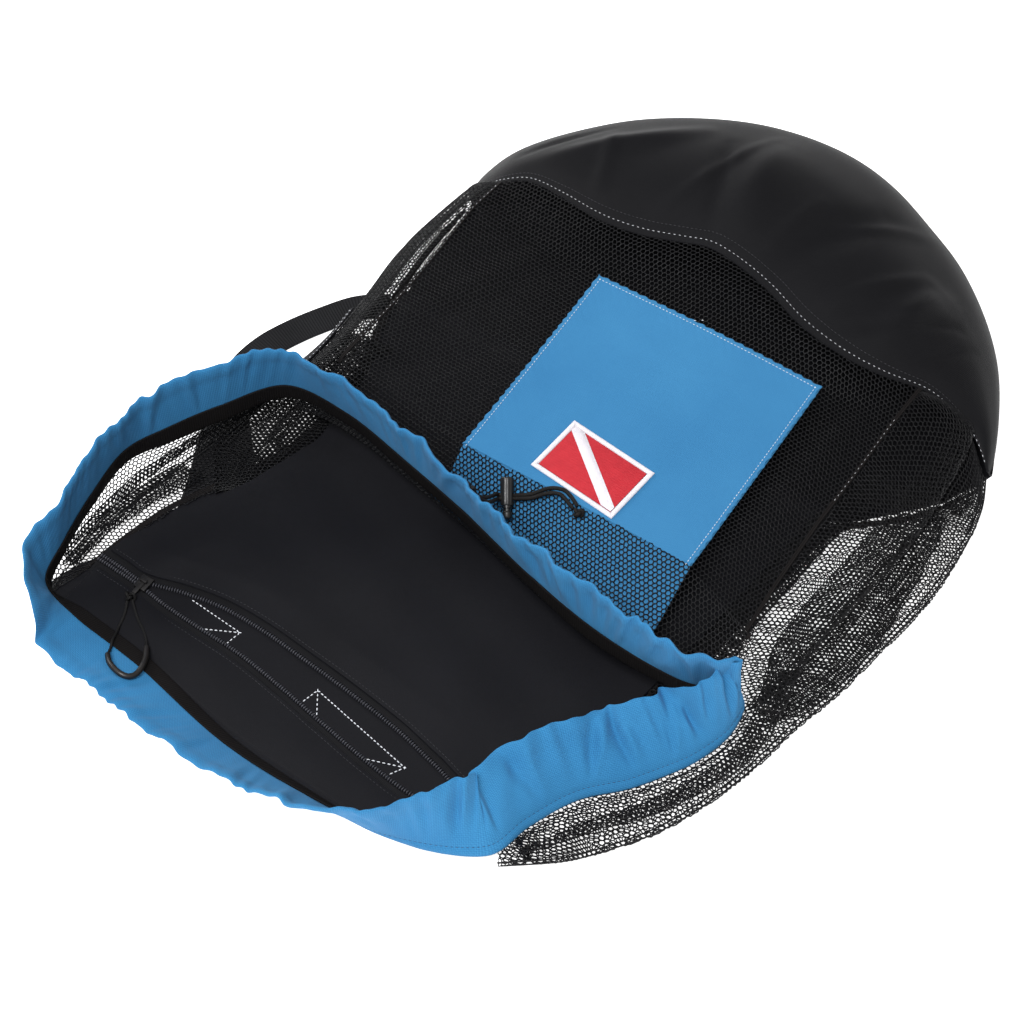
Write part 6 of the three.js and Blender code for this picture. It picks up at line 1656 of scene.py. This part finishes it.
LOCK_RADIUS, LOCK_END, BORE = 5.0, 10.5, 4.0
hole_length, hole_width = DRAWCORD + 1.6 * strand_apart + 0.8, DRAWCORD + 1.2 * strand_apart + 0.8
barrel = turned_body("lock_barrel", [
    (0.01, -LOCK_END), (3.6, -LOCK_END), (4.4, -10.3), (4.85, -9.9),
    *((LOCK_RADIUS, place) for place in (-9.3, -6, 0, 6, 9.8)),
    (4.9, 10.2), (4.6, LOCK_END), (BORE, LOCK_END), (BORE, 2 - LOCK_END), (0.01, 2 - LOCK_END),
], black_plastic, "bag", grooves=0.28)
cut_through(barrel, hole_centre, (15, hole_length / 2, hole_width / 2))
dress("cord_lock_barrel")
plunger_start, button_end = 2 - LOCK_END + 4 + 0.6, LOCK_END + 10
slot_end = 4 + hole_length / 2 + 4
button = turned_body("lock_button", [
    (0.01, plunger_start), (3.4, plunger_start), (3.7, plunger_start + 0.3), (3.7, slot_end + 1),
    (2.6, slot_end + 1.6),
    (2.6, button_end - 6), (3.1, button_end - 5.7), (3.4, button_end - 5.2), (3.4, button_end - 1.4),
    (3.1, button_end - 0.6), (2.5, button_end - 0.1), (0.01, button_end),
], black_plastic, "lock_button")
slot_start = 4 - hole_length / 2
slot_sizes = (15, (slot_end - slot_start) / 2, hole_width / 2)
cut_through(button, LOCK_CENTRE + lock_axis * (slot_start + slot_end) / 2, slot_sizes)
dress("cord_lock_button")
print("lock", len(barrel.data.polygons), len(button.data.polygons), "faces")

# %% [markdown]
# ## Cords and knots
# Each cord is a tube along its settled route, with a braid that follows its length. A knot is the
# cord's own thickness wound through itself, which a trefoil curve gives in one closed loop.

# %% Knots and cords
def knot(name, centre, size, radius, material):
    """Cord knotted tightly within a width, depth and height."""
    t = np.linspace(0, 2 * math.pi, 72, endpoint=False)
    curve = np.stack([np.sin(t) + 2 * np.sin(2 * t), np.cos(t) - 2 * np.cos(2 * t), -np.sin(3 * t)], axis=-1)
    reach = (np.array(size) / 2 - radius) / np.array([2.8, 2.8, 1.0])
    line = centre + curve * reach
    closed = np.concatenate([line, line[:1]])
    sections = round_sections(closed, radius, 10)[:-1]
    return swept(name, sections, material, ring=True)


def length_of(points):
    return float(np.linalg.norm(np.diff(metres(points), axis=0), axis=1).sum())


drawcord_knot = knot("drawcord_knot_tied", knot_place, (9.0, 8.4, 6.2), 1.45, drawcord_braid)
dress("drawcord_knot")
for side, points in strands.items():
    piece = swept("drawcord_" + side + "_strand", round_sections(points, DRAWCORD / 2, 14), drawcord_braid)
    dress("drawcord_" + side)
    print(piece.name, round(length_of(points) * 1000, 1), "mm")

pull_knot = knot("zip_knot_tied", zip_seat + np.array([1, -16.8, 11.6]), (9.4, 8.0, 6.8), 1.05, loop_braid)
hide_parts("zip_knot")
grip_radius = 2.2 * (0.86 + 0.14 * np.sin(math.pi * np.linspace(0, 1, len(grip_line))) ** 0.3)
grip = swept("zip_grip_sleeve", round_sections(grip_line, grip_radius, 16), rubber)
dress("zip_grip")
for side, points, end, on_it in (("left", left_leg, "fitting", grip), ("right", right_leg, "knot", pull_knot)):
    piece = swept("zip_loop_" + side + "_leg", round_sections(points, 1.0, 12), loop_braid)
    dress("zip_loop_" + side)
    print(piece.name, round(length_of(points) * 1000, 1), "mm")

# %% [markdown]
# ## Slider and tab
# The slider is cast metal: the solid's shape is right, and only its edges are too sharp. A merged
# copy of it gets a small bevel, which catches a thin light along every edge.

# %% Slider
def softened(name, node, width, material):
    """Copy of a solid with its edges rounded over."""
    source_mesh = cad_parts[node].data
    points = [tuple(v.co) for v in source_mesh.vertices]
    mesh = bpy.data.meshes.new(name)
    mesh.from_pydata(points, [], [tuple(face.vertices) for face in source_mesh.polygons])
    piece = bpy.data.objects.new(name, mesh)
    scene.collection.objects.link(piece)
    weld = piece.modifiers.new("weld", "WELD")
    weld.merge_threshold = 1e-6
    plain = piece.modifiers.new("plain", "DECIMATE")
    plain.decimate_type, plain.angle_limit = "DISSOLVE", math.radians(3)
    bevel = piece.modifiers.new("bevel", "BEVEL")
    bevel.width, bevel.segments, bevel.limit_method = width, 3, "ANGLE"
    depsgraph = bpy.context.evaluated_depsgraph_get()
    piece.data = bpy.data.meshes.new_from_object(piece.evaluated_get(depsgraph))
    piece.modifiers.clear()
    bpy.data.meshes.remove(mesh)
    piece.data.materials.clear()
    piece.data.materials.append(material)
    piece.data.shade_smooth()
    piece.data.set_sharp_from_angle(angle=math.radians(40))
    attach(piece, "bag")
    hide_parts(node)
    return piece


slider = softened("zip_slider_cast", "zip_slider", 0.00035, dark_metal)
tab = softened("zip_tab_cast", "zip_tab", 0.0003, dark_metal)
print("slider", len(slider.data.polygons), "faces")

# %% [markdown]
# ## Floor and light
# A studio shot for a shop is lit almost evenly: a wide soft source above, a second from one side
# for shape, and a pale floor that goes nearly white.

# %% Floor and lights
floor_mesh = bpy.data.meshes.new("floor")
FLOOR_REACH, FLOOR_DROP = 6, 0.0004
floor_corners = [
    (i * FLOOR_REACH, j * FLOOR_REACH, -FLOOR_DROP) for i, j in ((-1, -1), (1, -1), (1, 1), (-1, 1))
]
floor_mesh.from_pydata(floor_corners, [], [(0, 1, 2, 3)])
floor = bpy.data.objects.new("floor", floor_mesh)
scene.collection.objects.link(floor)
paint, tree, shader = start_material("floor_paint", 0.9, specular=0.1)
shaded(tree, shader, rgb(0.95, 0.95, 0.95), rgb(0.99, 0.99, 0.99), noise(tree, 3.0))
shader.inputs["Emission Color"].default_value = (1, 1, 1, 1)
shader.inputs["Emission Strength"].default_value = 0.8
floor_mesh.materials.append(paint)
world = bpy.data.worlds.new("studio")
world.use_nodes = True
world.node_tree.nodes["Background"].inputs["Color"].default_value = (1, 1, 1, 1)
world.node_tree.nodes["Background"].inputs["Strength"].default_value = 0.5
scene.world = world


def area_light(name, azimuth, elevation, distance, size, watts):
    """Soft square light aimed at the bag."""
    data = bpy.data.lights.new(name, "AREA")
    data.shape, data.size, data.energy = "SQUARE", size, watts
    light = bpy.data.objects.new(name, data)
    direction = aim(azimuth, elevation)
    light.location = target + direction * distance
    light.rotation_euler = direction.to_track_quat("Z", "Y").to_euler()
    scene.collection.objects.link(light)


area_light("top", 10, 64, 2.6, 1.0, 64)
area_light("side", -100, 30, 2.6, 0.8, 26)
scene.view_settings.view_transform = "Standard"
print("studio ready")
